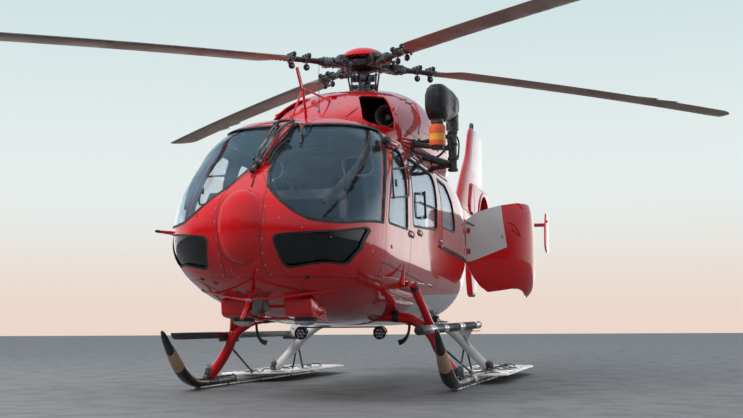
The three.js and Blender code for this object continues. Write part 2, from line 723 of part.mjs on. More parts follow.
function fittings() {
  const cutterUpper = union([
    rod([1930, 0, 2300], [2050, 0, 2630], 13),
    rod([2050, 0, 2630], [1060, 0, 2690], 10),
    rod([2050, 0, 2630], [2370, 0, 2280], 10),
    prismY([[2020, 2600], [2195, 2790], [2240, 2770], [2080, 2590]], -8, 8),
  ])
  add('wire_cutter_upper', without(cutterUpper, [hullClear, cowlClear]), 'redPaint')
  const cutterCourse = [[3325, 0, 762], [3110, 270, 798], [2850, 575, 853]]
  const cutterStay = tube(cutterCourse, 10, { faces: 8, steps: 8 })
  const cutterBlade = rod([3180, 0, 900], [3475, 0, 615], 15)
  const cutterLower = union([cutterBlade, cutterStay, opposite(cutterStay)])
  add('wire_cutter_lower', without(cutterLower, [hullClear]), 'redPaint')

  const lightBoxes = sides.map(({ sign }) => {
    const y = sign * 260
    const wedgeOutline = [[2980, 800], [2962, 665], [2920, 640], [2560, 602], [2560, 780]]
    const wedge = prismY(wedgeOutline, y - 112, y + 112)
    const dome = turned([[0, 570], [60, 582], [92, 608], [92, 645], [0, 645]], 16)
    const lens = moved(dome, translation(2760, y, 0))
    return union([wedge, lens])
  })
  const lightRail = box(2650, 2700, -200, 200, 618, 640)
  add('belly_lights', without(union([...lightBoxes, lightRail]), [hullClear]), 'redPaint')

  const lampX = 900
  const lampY = 390
  const lamps = sides.map(({ sign }) => union([
    rod([lampX - 40, sign * lampY, 500], [lampX + 40, sign * lampY, 500], 60, 16),
    rod([lampX, sign * lampY, 500], [lampX, sign * lampY, 566], 14, 8),
  ]))
  const lampRail = box(lampX - 20, lampX + 20, -lampY, lampY, 550, 566)
  add('round_lamps', union([...lamps, lampRail]), 'blackPlastic')
}

function cabinInside() {
  const seatY = 420
  const seatHalf = 230
  for (const { name, sign } of sides) {
    const y = sign * seatY
    const seat = union([
      box(1780, 2240, y - seatHalf, y + seatHalf, 1150, 1290),
      box(1700, 1820, y - seatHalf, y + seatHalf, 1160, 1880),
      box(1720, 1800, y - 130, y + 130, 1870, 2050),
      box(1810, 2110, y - 180, y + 180, floorTop + seam, 1155),
    ])
    add(`crew_seat_${name}`, seat, 'seatCloth')
  }
  add('cabin_bench', union([
    box(20, 460, -650, 650, 1180, 1300),
    box(-60, 40, -650, 650, 1190, 1900),
    box(60, 400, -600, 600, floorTop + seam, 1185),
  ]), 'seatCloth')
  const panel = prismY([[2640, 1400], [2820, 1400], [2860, 1560], [2780, 1650], [2600, 1640]], -560, 560)
  add('instrument_panel', panel, 'blackPlastic')
  const base = floorTop + seam
  const consoleOutline = [[2320, base], [2760, base], [2760, 1399], [2620, 1399], [2330, 1180]]
  add('centre_console', prismY(consoleOutline, -110, 110), 'blackPlastic')
}

hullPanels()
doorsAndGlass()
engineBay()
tail()
undercarriage()
rotor()
hoist()
fittings()
cabinInside()

const bounds = new THREE.Box3().setFromObject(helicopter)
helicopter.position.set(-(bounds.min.x + bounds.max.x) / 2, 0, -bounds.min.z)

export default helicopter
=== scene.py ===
"""Looks of the twin-engine rescue helicopter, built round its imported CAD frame.

Metres. Shapes are written as on the drawing, with X forward from the rotor mast, Y to port and Z up
from the ground. MAST_X moves them into the frame, whose origin is under the middle of the machine.
"""

import math

import bmesh
import bpy
import numpy as np
from mathutils import Matrix, Vector
from mathutils.bvhtree import BVHTree


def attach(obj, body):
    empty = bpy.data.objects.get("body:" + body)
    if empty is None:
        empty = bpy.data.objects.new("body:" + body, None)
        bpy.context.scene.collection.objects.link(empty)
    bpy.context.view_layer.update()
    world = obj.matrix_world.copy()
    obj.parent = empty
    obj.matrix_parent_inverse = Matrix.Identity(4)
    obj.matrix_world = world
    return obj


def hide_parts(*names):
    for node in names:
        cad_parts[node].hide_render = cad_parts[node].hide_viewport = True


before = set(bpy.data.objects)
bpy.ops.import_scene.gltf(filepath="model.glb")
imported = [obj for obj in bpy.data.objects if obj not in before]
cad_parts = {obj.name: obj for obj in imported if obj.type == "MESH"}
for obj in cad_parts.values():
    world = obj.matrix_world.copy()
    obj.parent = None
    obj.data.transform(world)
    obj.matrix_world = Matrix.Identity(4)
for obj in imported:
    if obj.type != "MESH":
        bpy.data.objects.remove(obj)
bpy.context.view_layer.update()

# Driving dimensions, shared with the CAD
MAST_X = 2.07843
WALL = 0.034
GLASS_DEPTH = 0.009
GLASS_THICKNESS = 0.007
FLOOR_TOP = 0.93
DOOR_GAP = 0.006
CLEAR = 0.0004
HUB_HEIGHT = 3.305
MAST_TILT = math.radians(2.08)
ROTOR_PHASE = math.radians(45.5)
FAN_X = -7.4
FAN_Z = 2.17
DUCT_RADIUS = 0.575
SHROUD_HALF = 0.125
FAN_BLADES = 10
CLAM_HINGE = (-1.5, 0.806)
CLAM_OPEN = math.radians(81)
HOIST_X = 0.64
HOIST_Y = 1.06
SKID_Y = 1.2
FRONT_TUBE_X = 1.23
REAR_TUBE_X = -0.6
SIDES = (("port", 1), ("starboard", -1))

# Body stations: x, bottom, top, half width, height of the widest point, lower and upper roundness
HULL = [
    (3.545, 1.21, 1.37, 0.15, 1.285, 2, 2), (3.52, 1.118, 1.45, 0.29, 1.28, 2, 2),
    (3.47, 1.025, 1.53, 0.4, 1.27, 2, 2.1), (3.38, 0.936, 1.6, 0.52, 1.26, 2, 2.2),
    (3.25, 0.86, 1.69, 0.64, 1.25, 2.05, 2.4), (3.08, 0.795, 1.8, 0.735, 1.24, 2.1, 2.6),
    (2.88, 0.735, 1.945, 0.81, 1.24, 2.15, 2.8), (2.66, 0.684, 2.1, 0.85, 1.25, 2.25, 3),
    (2.44, 0.645, 2.245, 0.866, 1.27, 2.35, 3.3), (2.15, 0.608, 2.34, 0.868, 1.3, 2.5, 3.6),
    (1.7, 0.578, 2.365, 0.868, 1.33, 2.6, 3.8), (0.8, 0.57, 2.365, 0.868, 1.34, 2.8, 3.8),
    (-0.5, 0.57, 2.35, 0.868, 1.34, 2.8, 3.8), (-0.9, 0.578, 2.34, 0.862, 1.35, 2.8, 3.7),
    (-1.2, 0.608, 2.33, 0.845, 1.37, 2.8, 3.5), (-1.5, 0.662, 2.315, 0.8, 1.4, 2.7, 3.2),
    (-1.8, 0.732, 2.29, 0.71, 1.43, 2.6, 2.9), (-2.05, 0.808, 2.23, 0.57, 1.45, 2.5, 2.7),
    (-2.2, 0.88, 2.13, 0.43, 1.46, 2.4, 2.5), (-2.29, 0.985, 1.99, 0.28, 1.47, 2.2, 2.3),
    (-2.33, 1.15, 1.79, 0.13, 1.475, 2, 2),
]

# Engine cowling stations, same columns
COWL = [
    (1.78, 2.1, 2.395, 0.26, 2.2, 2, 2), (1.6, 2.1, 2.5, 0.47, 2.25, 2.2, 2.4),
    (1.3, 2.1, 2.65, 0.62, 2.3, 2.4, 2.6), (0.9, 2.1, 2.825, 0.7, 2.33, 2.4, 2.6),
    (0.45, 2.1, 2.945, 0.75, 2.35, 2.4, 2.6), (0, 2.1, 3.02, 0.77, 2.35, 2.4, 2.6),
    (-0.6, 2.1, 3.015, 0.765, 2.35, 2.4, 2.6), (-1.2, 2.1, 2.93, 0.69, 2.35, 2.3, 2.5),
    (-1.8, 2.12, 2.8, 0.53, 2.36, 2.2, 2.3), (-2.4, 2.15, 2.69, 0.38, 2.37, 2.1, 2.1),
    (-2.9, 2.2, 2.59, 0.285, 2.38, 2, 2),
]

# Tail boom stations, same columns
BOOM = [
    (-1.56, 2.06, 2.62, 0.42, 2.33, 2.2, 2.2), (-2.1, 2.05, 2.61, 0.345, 2.33, 2.1, 2.1),
    (-2.9, 2.03, 2.55, 0.282, 2.29, 2, 2), (-4.2, 2, 2.47, 0.235, 2.235, 2, 2),
    (-5.6, 1.975, 2.39, 0.2, 2.185, 2, 2), (-6.7, 1.96, 2.35, 0.178, 2.155, 2, 2),
]

# Outlines in side view, as x and z
CREW_DOOR = [
    (2.555, 0.955), (2.555, 1.39), (2.498, 1.56), (2.415, 1.725), (2.282, 1.9), (2.14, 2.05), (2.04, 2.13),
    (1.98, 2.16), (1.625, 2.16), (1.668, 1.46), (1.68, 0.955),
]
CREW_WINDOW = [
    (2.49, 1.385), (2.442, 1.545), (2.362, 1.7), (2.235, 1.865), (2.1, 2.005), (2.02, 2.07), (1.96, 2.085),
    (1.745, 2.085), (1.785, 1.46), (1.79, 1.385),
]
SLIDING_DOOR = [
    (1.674, 0.955), (1.662, 1.46), (1.618, 2.16), (0.33, 2.16), (0.33, 0.955),
]
SLIDING_WINDOW = [
    (1.59, 1.5), (1.56, 1.44), (1.5, 1.44), (0.52, 1.49), (0.47, 1.53), (0.4, 2.06), (1.545, 2.085),
]
QUARTER_WINDOW = [
    (0.24, 1.545), (0.2, 2.06), (-0.26, 2.035), (-0.44, 1.87), (-0.52, 1.64), (-0.47, 1.545),
]
CLAMSHELL = [
    (-1.5, 1.78), (-1.5, 1.26), (-1.582, 1.112), (-1.66, 1.009), (-1.745, 0.945), (-1.893, 0.965),
    (-2.035, 0.988), (-2.11, 0.988), (-2.16, 0.965), (-2.195, 0.915), (-2.215, 0.8), (-2.6, 0.8),
    (-2.6, 2.02), (-2.12, 2.02), (-1.911, 1.975), (-1.769, 1.932), (-1.617, 1.872),
]
WINDSHIELD_SIDE = [
    (2.6, 1.2), (2.6, 1.39), (2.545, 1.565), (2.46, 1.738), (2.325, 1.922), (2.188, 2.071), (2.06, 2.18),
    (1.99, 2.24), (1.99, 2.5), (3.8, 2.5), (3.8, 1.2),
]

# Outlines in front view on the port side, as y and z
WINDSHIELD_FRONT = [
    (0.062, 2.232), (0.058, 2), (0.068, 1.85), (0.095, 1.74), (0.165, 1.6), (0.29, 1.48), (0.4, 1.395),
    (0.495, 1.345), (0.6, 1.33), (0.7, 1.333), (0.86, 1.378), (1, 1.378), (1, 2.232),
]
CHIN_FRONT = [
    (0.248, 1.224), (0.305, 0.99), (0.545, 1.035), (0.68, 1.03), (0.77, 1.15), (0.812, 1.295),
    (0.802, 1.315), (0.67, 1.273),
]

# Fin sections: height, leading edge, trailing edge, thickness
FIN = [
    (2.45, -5.45, -8.05, 0.2), (2.7, -5.69, -8.05, 0.19), (2.98, -6, -8.06, 0.165),
    (3.35, -6.44, -8.11, 0.14), (3.78, -6.74, -8.14, 0.125), (3.85, -6.83, -8.12, 0.08),
]

# More side view outlines
SHROUD = [
    (-6.45, 1.975), (-6.76, 1.66), (-7.08, 1.5), (-7.42, 1.45), (-7.76, 1.51), (-8.01, 1.7), (-8.12, 1.98),
    (-8.13, 2.36), (-8.08, 2.64), (-7.96, 2.86), (-6.3, 2.86), (-6.05, 2.5), (-6.1, 2.34),
]
TAIL_BUMPER = [
    (-6.48, 1.96), (-6.47, 1.35), (-6.6, 1.042), (-6.94, 1.042), (-7.12, 1.47), (-7.1, 1.56),
]
END_PLATE = [
    (-5.83, 1.76), (-5.87, 2.06), (-6.02, 2.29), (-6.33, 2.3), (-6.39, 1.7), (-6.05, 1.68),
]

# Front view of the port intake mouth, as y and z
INTAKE_MOUTH = [
    (0.403, 2.424), (0.476, 2.376), (0.57, 2.37), (0.631, 2.371), (0.619, 2.472), (0.564, 2.603),
    (0.516, 2.68), (0.456, 2.751), (0.35, 2.757), (0.225, 2.752), (0.29, 2.651), (0.358, 2.535),
]
NOSE_BACK = 2.64
NOSE_TOP = 1.742


# Shapes
def all_round(count, offset=0.0):
    """Angles spread evenly over a full turn."""
    return [2 * math.pi * (k + offset) / count for k in range(count)]


def curve_slopes(at, values):
    """Slopes of a smooth curve through the values that never overshoots them."""
    steps = np.diff(at)
    rises = np.diff(values) / steps
    slopes = np.zeros(len(at))
    for i in range(1, len(at) - 1):
        if rises[i - 1] * rises[i] > 0:
            before, after = 2 * steps[i] + steps[i - 1], steps[i] + 2 * steps[i - 1]
            slopes[i] = (before + after) / (before / rises[i - 1] + after / rises[i])
    slopes[0], slopes[-1] = rises[0], rises[-1]
    return slopes


def smooth_values(at, values, places):
    """The values read at some places, on a smooth curve."""
    slopes = curve_slopes(at, values)
    k = np.clip(np.searchsorted(at, places) - 1, 0, len(at) - 2)
    h = at[k + 1] - at[k]
    t = (places - at[k]) / h
    read = (2 * t**3 - 3 * t**2 + 1) * values[k] + (t**3 - 2 * t**2 + t) * h * slopes[k]
    return read + (3 * t**2 - 2 * t**3) * values[k + 1] + (t**3 - t**2) * h * slopes[k + 1]


def smooth_rows(table, count):
    """The station table read at count places along its length, on smooth curves."""
    rows = np.array(table, dtype=float)
    shape = rows[:, :4]
    at = np.concatenate([[0], np.cumsum(np.linalg.norm(np.diff(shape, axis=0), axis=1))])
    places = np.linspace(0, at[-1], count)
    return np.array([smooth_values(at, column, places) for column in rows.T]).T


def section_point(row, angle, inwards=0.0):
    """A point of a station's rounded box section."""
    x, bottom, top, half, widest, lower, upper = row
    c, s = math.cos(angle), math.sin(angle)
    power = 2 / (upper if s >= 0 else lower)
    height = (top - inwards - widest) if s >= 0 else (widest - bottom - inwards)
    y = (half - inwards) * math.copysign(abs(c) ** power, c)
    return Vector((x, y, widest + height * math.copysign(abs(s) ** power, s)))


def loft(rings):
    """A closed bmesh through rings of points, each joined to the next by a bridge."""
    bm = bmesh.new()
    edges_of = []
    for ring in rings:
        made = bmesh.ops.create_circle(bm, segments=len(ring), radius=1)
        for vert, place in zip(made["verts"], ring):
            vert.co = place
        edges_of.append(list({edge for vert in made["verts"] for edge in vert.link_edges}))
    for first, second in zip(edges_of, edges_of[1:]):
        bmesh.ops.bridge_loops(bm, edges=first + second)
    for edges in (edges_of[0], edges_of[-1]):
        bmesh.ops.contextual_create(bm, geom=edges)
    bmesh.ops.recalc_face_normals(bm, faces=bm.faces[:])
    return bm


def body_loft(table, inwards=0.0, rings=110, around=96):
    """A smooth closed body through a station table, moved inwards all round."""
    rows = smooth_rows(table, rings)
    front, back = rows[0][0], rows[-1][0]
    squeeze = (front - back - 2 * inwards) / (front - back)
    rows[:, 0] = back + inwards + (rows[:, 0] - back) * squeeze
    return loft([[section_point(row, angle, inwards) for angle in all_round(around, 0.5)] for row in rows])


def rounded(outline, radius, steps=5):
    """An outline with its corners rounded."""
    points = [Vector(p) for p in outline]
    result = []
    for i, corner in enumerate(points):
        before, after = points[i - 1] - corner, points[(i + 1) % len(points)] - corner
        turn = before.angle(after)
        if turn > math.radians(172):
            result.append(corner)
            continue
        reach = min(radius / math.tan(turn / 2), 0.45 * before.length, 0.45 * after.length)
        start, end = corner + before.normalized() * reach, corner + after.normalized() * reach
        for k in range(steps + 1):
            t = k / steps
            result.append(start * (1 - t) ** 2 + corner * 2 * t * (1 - t) + end * t**2)
    return result


def grown(outline, distance):
    """An outline moved outwards, or inwards by a negative distance."""
    points = [Vector(p) for p in outline]
    area = sum(points[i - 1].x * p.y - p.x * points[i - 1].y for i, p in enumerate(points))
    turn = 1 if area > 0 else -1
    result = []
    for i, corner in enumerate(points):
        a = (corner - points[i - 1]).normalized()
        b = (points[(i + 1) % len(points)] - corner).normalized()
        outwards = Vector((a.y + b.y, -a.x - b.x)) * turn
        result.append(corner + outwards * (2 * distance / max(outwards.length_squared, 0.4)))
    return result


def prism(outline, across, low, high):
    """A prism from an outline: across "y" reads it as x and z, "x" as y and z, "z" as x and y."""
    bm = bmesh.new()
    made = bmesh.ops.create_circle(bm, segments=len(outline), radius=1, cap_ends=True)
    for vert, (u, v) in zip(made["verts"], outline):
        vert.co = {"y": (u, low, v), "x": (low, u, v), "z": (u, v, low)}[across]
    way = {"y": (0, high - low, 0), "x": (high - low, 0, 0), "z": (0, 0, high - low)}[across]
    top = bmesh.ops.extrude_face_region(bm, geom=bm.faces[:])
    bmesh.ops.translate(bm, verts=[g for g in top["geom"] if isinstance(g, bmesh.types.BMVert)], vec=way)
    bmesh.ops.recalc_face_normals(bm, faces=bm.faces[:])
    return bm


def side_prism(outline, sign):
    return prism(outline, "y", 0.3 * sign, 1.4 * sign)


def flipped(outline, sign):
    return [(u * sign, v) for u, v in outline]


def mesh_of(bm, name="shape"):
    mesh = bpy.data.meshes.new(name)
    bm.to_mesh(mesh)
    bm.free()
    return mesh


def moved(bm, matrix):
    bmesh.ops.transform(bm, matrix=matrix, verts=bm.verts[:])
    return bm


def standing(centre, axis):
    """The place at a centre whose Z axis points along another axis."""
    turn = Vector((0, 0, 1)).rotation_difference(Vector(axis).normalized())
    return Matrix.Translation(centre) @ turn.to_matrix().to_4x4()


def bevelled(bm, edges, offset, segments=2):
    bmesh.ops.bevel(bm, geom=edges, offset=offset, affect="EDGES", segments=segments, profile=0.5,
                    material=-1)
    return bm


def sharp_edges(bm, degrees=30):
    return [edge for edge in bm.edges if edge.calc_face_angle(0) > math.radians(degrees)]


def brick(size, bevel=0.0, segments=2):
    """A box about the origin, with softened edges."""
    bm = bmesh.new()
    bmesh.ops.create_cube(bm, size=1)
    bmesh.ops.scale(bm, vec=size, verts=bm.verts[:])
    return bevelled(bm, bm.edges[:], bevel, segments) if bevel else bm


def block(low, high):
    """A plain box between two corners, for cutting with."""
    bm = brick([b - a for a, b in zip(low, high)])
    bmesh.ops.translate(bm, vec=[(a + b) / 2 for a, b in zip(low, high)], verts=bm.verts[:])
    return bm


def worker(shape):
    """A hidden helper object for a boolean, made from a mesh or a bmesh."""
    mesh = shape.copy() if isinstance(shape, bpy.types.Mesh) else mesh_of(shape)
    obj = bpy.data.objects.new("helper", mesh)
    bpy.context.scene.collection.objects.link(obj)
    return obj


def combine(shape, *steps):
    """The shape after boolean steps such as ("DIFFERENCE", other)."""
    obj = worker(shape)
    for operation, other in steps:
        tool = worker(other)
        cut = obj.modifiers.new("cut", "BOOLEAN")
        cut.operation, cut.solver, cut.object = operation, "MANIFOLD", tool
        made = bpy.data.meshes.new_from_object(obj.evaluated_get(bpy.context.evaluated_depsgraph_get()))
        obj.modifiers.clear()
        obj.data = made
        bpy.data.objects.remove(tool)
    mesh = obj.data
    bpy.data.objects.remove(obj)
    return mesh


def surface_guide(mesh):
    """A smooth surface whose normals panels cut from it can borrow."""
    verts = [v.co.copy() for v in mesh.vertices]
    normals = [v.normal.copy() for v in mesh.vertices]
    mesh.calc_loop_triangles()
    faces = [tuple(t.vertices) for t in mesh.loop_triangles]
    return BVHTree.FromPolygons(verts, faces), verts, normals, faces


def borrowed(guide, place, flat):
    """The guide's smooth normal near a place, or the face's own where it lies off the guide."""
    tree, verts, normals, faces = guide
    hit, _, index, distance = tree.find_nearest(place)
    if hit is None or distance > 0.0012:
        return None
    a, b, c = faces[index]
    area = (verts[b] - verts[a]).cross(verts[c] - verts[a]).length
    if area < 1e-12:
        return None
    u = (verts[b] - hit).cross(verts[c] - hit).length / area
    v = (verts[c] - hit).cross(verts[a] - hit).length / area
    normal = (normals[a] * u + normals[b] * v + normals[c] * max(0.0, 1 - u - v)).normalized()
    return normal if normal.dot(flat) > 0.8 else None


def keep_smooth(mesh, guides):
    """Smooth shading along the guides, and flat faces where a panel was cut."""
    flats = [p.normal.copy() for p in mesh.polygons]
    normals = [None] * len(mesh.loops)
    for polygon in mesh.polygons:
        polygon.use_smooth = True
        for loop in polygon.loop_indices:
            place = mesh.vertices[mesh.loops[loop].vertex_index].co
            found = None
            for guide in guides:
                found = borrowed(guide, place, flats[polygon.index])
                if found:
                    break
            normals[loop] = found or flats[polygon.index]
    mesh.normals_split_custom_set(normals)


def place(obj_name, mesh, body, finishes, replaces=(), slot=None):
    """A finished piece: its mesh moves to the frame, and the piece rides on its body."""
    mesh.transform(Matrix.Translation((MAST_X, 0, 0)))
    mesh.name = obj_name
    obj = bpy.data.objects.new(obj_name, mesh)
    bpy.context.scene.collection.objects.link(obj)
    finish_of = [polygon.material_index for polygon in mesh.polygons]
    mesh.materials.clear()
    for finish_name in finishes:
        mesh.materials.append(FINISHES[finish_name])
    mesh.polygons.foreach_set("material_index", finish_of)
    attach(obj, body)
    if replaces:
        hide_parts(*replaces)
    return obj


def soften(mesh, degrees=35):
    """Smooth shading with sharp edges above an angle."""
    for polygon in mesh.polygons:
        polygon.use_smooth = True
    mesh.set_sharp_from_angle(angle=math.radians(degrees))


def smooth_path(points, steps):
    """Places along a smooth curve through the points."""
    p = [Vector(q) for q in points]
    if len(p) == 2:
        return p
    p = [p[0] * 2 - p[1], *p, p[-1] * 2 - p[-2]]
    result = []
    for i in range(1, len(p) - 2):
        for k in range(steps):
            t = k / steps
            a, b, c, d = p[i - 1], p[i], p[i + 1], p[i + 2]
            result.append(0.5 * (2 * b + (c - a) * t + (2 * a - 5 * b + 4 * c - d) * t**2
                                 + (3 * b - a - 3 * c + d) * t**3))
    result.append(p[-2])
    return result


class Part:
    """A piece built up from many small shapes, each with its own finish."""

    def __init__(self, name, body, *finishes, slot=None, replaces=()):
        self.name, self.body, self.finishes = name, body, finishes
        self.slot, self.replaces = slot, replaces
        self.bm = bmesh.new()
        self.matrix = Matrix.Identity(4)

    def take(self, bm, finish=0, smooth=True):
        """Adds a finished shape at the part's current place."""
        moved(bm, self.matrix)
        if self.matrix.determinant() < 0:
            bmesh.ops.reverse_faces(bm, faces=bm.faces[:])
        for face in bm.faces:
            face.material_index = finish
            face.smooth = smooth
        mesh = mesh_of(bm)
        self.bm.from_mesh(mesh)
        bpy.data.meshes.remove(mesh)
        return self

    def box(self, low, high, finish=0, bevel=0.004, turn=None):
        """A box with softened edges, between two corners."""
        size = [max(1e-4, b - a) for a, b in zip(low, high)]
        bm = brick(size, min(bevel, min(size) * 0.45))
        if turn:
            moved(bm, turn)
        bmesh.ops.translate(bm, vec=[(a + b) / 2 for a, b in zip(low, high)], verts=bm.verts[:])
        return self.take(bm, finish)

    def rod(self, start, end, radius, finish=0, end_radius=None, segments=14):
        """A round bar with softened ends, or a cone."""
        start, end = Vector(start), Vector(end)
        bm = bmesh.new()
        far = radius if end_radius is None else end_radius
        length = (end - start).length
        bmesh.ops.create_cone(bm, cap_ends=True, segments=segments, radius1=radius, radius2=far, depth=length)
        rims = [e for e in bm.edges if abs(e.verts[0].co.z - e.verts[1].co.z) < 1e-6]
        soft = min(radius, far) * 0.18
        if soft > 1e-5:
            bevelled(bm, rims, min(soft, length * 0.3))
        return self.take(moved(bm, standing((start + end) / 2, end - start)), finish)

    def ball(self, centre, radius, finish=0, squash=(1, 1, 1), segments=16):
        bm = bmesh.new()
        bmesh.ops.create_uvsphere(bm, u_segments=segments, v_segments=max(6, segments // 2 + 2),
                                  radius=radius)
        bmesh.ops.scale(bm, vec=squash, verts=bm.verts[:])
        bmesh.ops.translate(bm, vec=centre, verts=bm.verts[:])
        return self.take(bm, finish)

    def tube(self, points, radius, finish=0, segments=12, steps=6):
        """A round tube along a smooth curve. radius may be a list, one for each listed point."""
        path = smooth_path(points, steps)
        if isinstance(radius, (list, tuple)):
            radii = np.interp(np.linspace(0, len(radius) - 1, len(path)), range(len(radius)), radius)
        else:
            radii = [radius] * len(path)
        rings = []
        side = None
        for i, centre in enumerate(path):
            ahead = (path[min(i + 1, len(path) - 1)] - path[max(i - 1, 0)]).normalized()
            if side is None:
                side = ahead.orthogonal().normalized()
            side = (side - ahead * side.dot(ahead)).normalized()
            other = ahead.cross(side)
            rings.append([centre + (side * math.cos(a) + other * math.sin(a)) * radii[i]
                          for a in all_round(segments)])
        return self.take(loft(rings), finish)

    def turned(self, profile, centre=(0, 0, 0), axis=(0, 0, 1), finish=0, segments=32):
        """A solid of revolution from radius and height pairs."""
        bm = bmesh.new()
        verts = [bm.verts.new((r, 0, z)) for r, z in profile]
        edges = [bm.edges.new(pair) for pair in zip(verts, verts[1:])]
        bmesh.ops.spin(bm, geom=verts + edges, cent=(0, 0, 0), axis=(0, 0, 1), angle=2 * math.pi,
                       steps=segments, use_merge=True)
        bmesh.ops.remove_doubles(bm, verts=bm.verts[:], dist=1e-6)
        bmesh.ops.dissolve_degenerate(bm, edges=bm.edges[:], dist=1e-7)
        bmesh.ops.recalc_face_normals(bm, faces=bm.faces[:])
        return self.take(moved(bm, standing(centre, axis)), finish)

    def slab(self, outline, across, low, high, finish=0, bevel=0.003):
        """A flat plate cut to an outline."""
        bm = prism(outline, across, low, high)
        if bevel:
            bevelled(bm, sharp_edges(bm), bevel)
        return self.take(bm, finish)

    def shape(self, mesh, finish=0):
        bm = bmesh.new()
        bm.from_mesh(mesh)
        return self.take(bm, finish)

    def done(self, degrees=35):
        mesh = mesh_of(self.bm)
        soften(mesh, degrees)
        return place(self.name, mesh, self.body, self.finishes, self.replaces, self.slot)


# Finishes
def effect_group(name, inputs, outputs, build):
    """A shader group of number inputs, whose outputs are what build gives."""
    tree = bpy.data.node_groups.new(name, "ShaderNodeTree")
    for label, value in inputs.items():
        socket = tree.interface.new_socket(name=label, in_out="INPUT", socket_type="NodeSocketFloat")
        socket.default_value = value
    for label in outputs:
        tree.interface.new_socket(name=label, in_out="OUTPUT", socket_type="NodeSocketFloat")
    inside, outside = tree.nodes.new("NodeGroupInput"), tree.nodes.new("NodeGroupOutput")
    for label, value in zip(outputs, build(tree, inside.outputs)):
        tree.links.new(value, outside.inputs[label])
    return tree


def node(tree, kind, settings=(), **values):
    """A node with settings, and values or links for its inputs."""
    made = tree.nodes.new(kind)
    for key, value in dict(settings).items():
        setattr(made, key, value)
    for key, value in values.items():
        socket = made.inputs[int(key[1:])] if key[0] == "i" and key[1:].isdigit() else made.inputs[key]
        if isinstance(value, bpy.types.NodeSocket):
            tree.links.new(value, socket)
        else:
            socket.default_value = value
    return made


def math_node(tree, operation, first, second=0.0, clamp=False):
    settings = {"operation": operation, "use_clamp": clamp}
    return node(tree, "ShaderNodeMath", settings, i0=first, i1=second).outputs[0]


def ramp(tree, value, low, high, start=0.0, end=1.0):
    made = node(tree, "ShaderNodeMapRange", {"interpolation_type": "SMOOTHSTEP"}, Value=value)
    for key, number in {"From Min": low, "From Max": high, "To Min": start, "To Max": end}.items():
        if isinstance(number, bpy.types.NodeSocket):
            tree.links.new(number, made.inputs[key])
        else:
            made.inputs[key].default_value = number
    return made.outputs["Result"]


def product(tree, first, *others):
    for other in others:
        first = math_node(tree, "MULTIPLY", first, other)
    return first


def stretched(tree, stretch=(1, 1, 1)):
    """Object coordinates drawn out along some axes."""
    where = node(tree, "ShaderNodeTexCoord").outputs["Object"]
    return node(tree, "ShaderNodeMapping", Vector=where, Scale=stretch).outputs["Vector"]


def noise(tree, scale, detail, roughness, stretch=(1, 1, 1)):
    return node(tree, "ShaderNodeTexNoise", Vector=stretched(tree, stretch), Scale=scale, Detail=detail,
                Roughness=roughness).outputs["Fac"]


def looking_up(tree, low, high, start=0.0, end=1.0):
    """A mask that rises on faces that look up."""
    normal = node(tree, "ShaderNodeNewGeometry").outputs["Normal"]
    up = node(tree, "ShaderNodeSeparateXYZ", Vector=normal).outputs["Z"]
    return ramp(tree, up, low, high, start, end)


def soft_blotches(tree, given):
    return [ramp(tree, noise(tree, given["Scale"], 7.0, 0.62), given["Low"], given["High"])]


def fine_grain(tree, given):
    return [noise(tree, given["Scale"], 3.0, 0.55)]


def settled_dust(tree, given):
    patchy = ramp(tree, noise(tree, given["Scale"], 9.0, 0.7), 0.42, 0.68)
    return [product(tree, looking_up(tree, -0.2, 0.9, 0.15, 1.0), patchy, given["Amount"])]


def edge_wear(tree, given):
    point = node(tree, "ShaderNodeNewGeometry").outputs["Pointiness"]
    broken = ramp(tree, noise(tree, given["Scale"], 6.0, 0.7), 0.4, 0.62)
    return [product(tree, ramp(tree, point, 0.53, 0.6), broken, given["Amount"])]


def rain_streaks(tree, given):
    upright = noise(tree, given["Scale"], 6.0, 0.6, (1, 1, 0.09))
    return [product(tree, ramp(tree, upright, 0.5, 0.75), given["Amount"])]


def brushed_lines(tree, given):
    return [noise(tree, given["Scale"], 4.0, 0.6, (0.05, 1, 1))]


def woven_threads(tree, given):
    ways = [node(tree, "ShaderNodeTexWave", {"bands_direction": direction}, Vector=stretched(tree),
                 Scale=given["Scale"], Distortion=0.6).outputs["Fac"] for direction in ("DIAGONAL", "Y")]
    crossed = product(tree, *ways)
    uneven = product(tree, noise(tree, 14.0, 5.0, 0.5), 0.4)
    return [crossed, math_node(tree, "ADD", product(tree, crossed, 0.6), uneven)]


GROUPS = {name: effect_group(name, inputs, outputs, build) for name, inputs, outputs, build in (
    ("blotches", {"Scale": 3.0, "Low": 0.4, "High": 0.65}, ["Mask"], soft_blotches),
    ("grain", {"Scale": 400.0}, ["Height"], fine_grain),
    ("dust", {"Amount": 0.3, "Scale": 6.0}, ["Mask"], settled_dust),
    ("edge wear", {"Amount": 0.5, "Scale": 30.0}, ["Mask"], edge_wear),
    ("streaks", {"Amount": 0.3, "Scale": 9.0}, ["Mask"], rain_streaks),
    ("brushed", {"Scale": 60.0}, ["Height"], brushed_lines),
    ("weave", {"Scale": 260.0}, ["Height", "Tint"], woven_threads),
)}


def use(tree, group, **values):
    made = tree.nodes.new("ShaderNodeGroup")
    made.node_tree = GROUPS[group]
    for key, value in values.items():
        made.inputs[key].default_value = value
    return made


def mixed(tree, first, second, mask):
    made = node(tree, "ShaderNodeMix", {"data_type": "RGBA"})
    for socket, value in ((made.inputs[6], first), (made.inputs[7], second), (made.inputs[0], mask)):
        if isinstance(value, bpy.types.NodeSocket):
            tree.links.new(value, socket)
        else:
            socket.default_value = (*value, 1.0) if isinstance(value, tuple) else value
    return made.outputs[2]


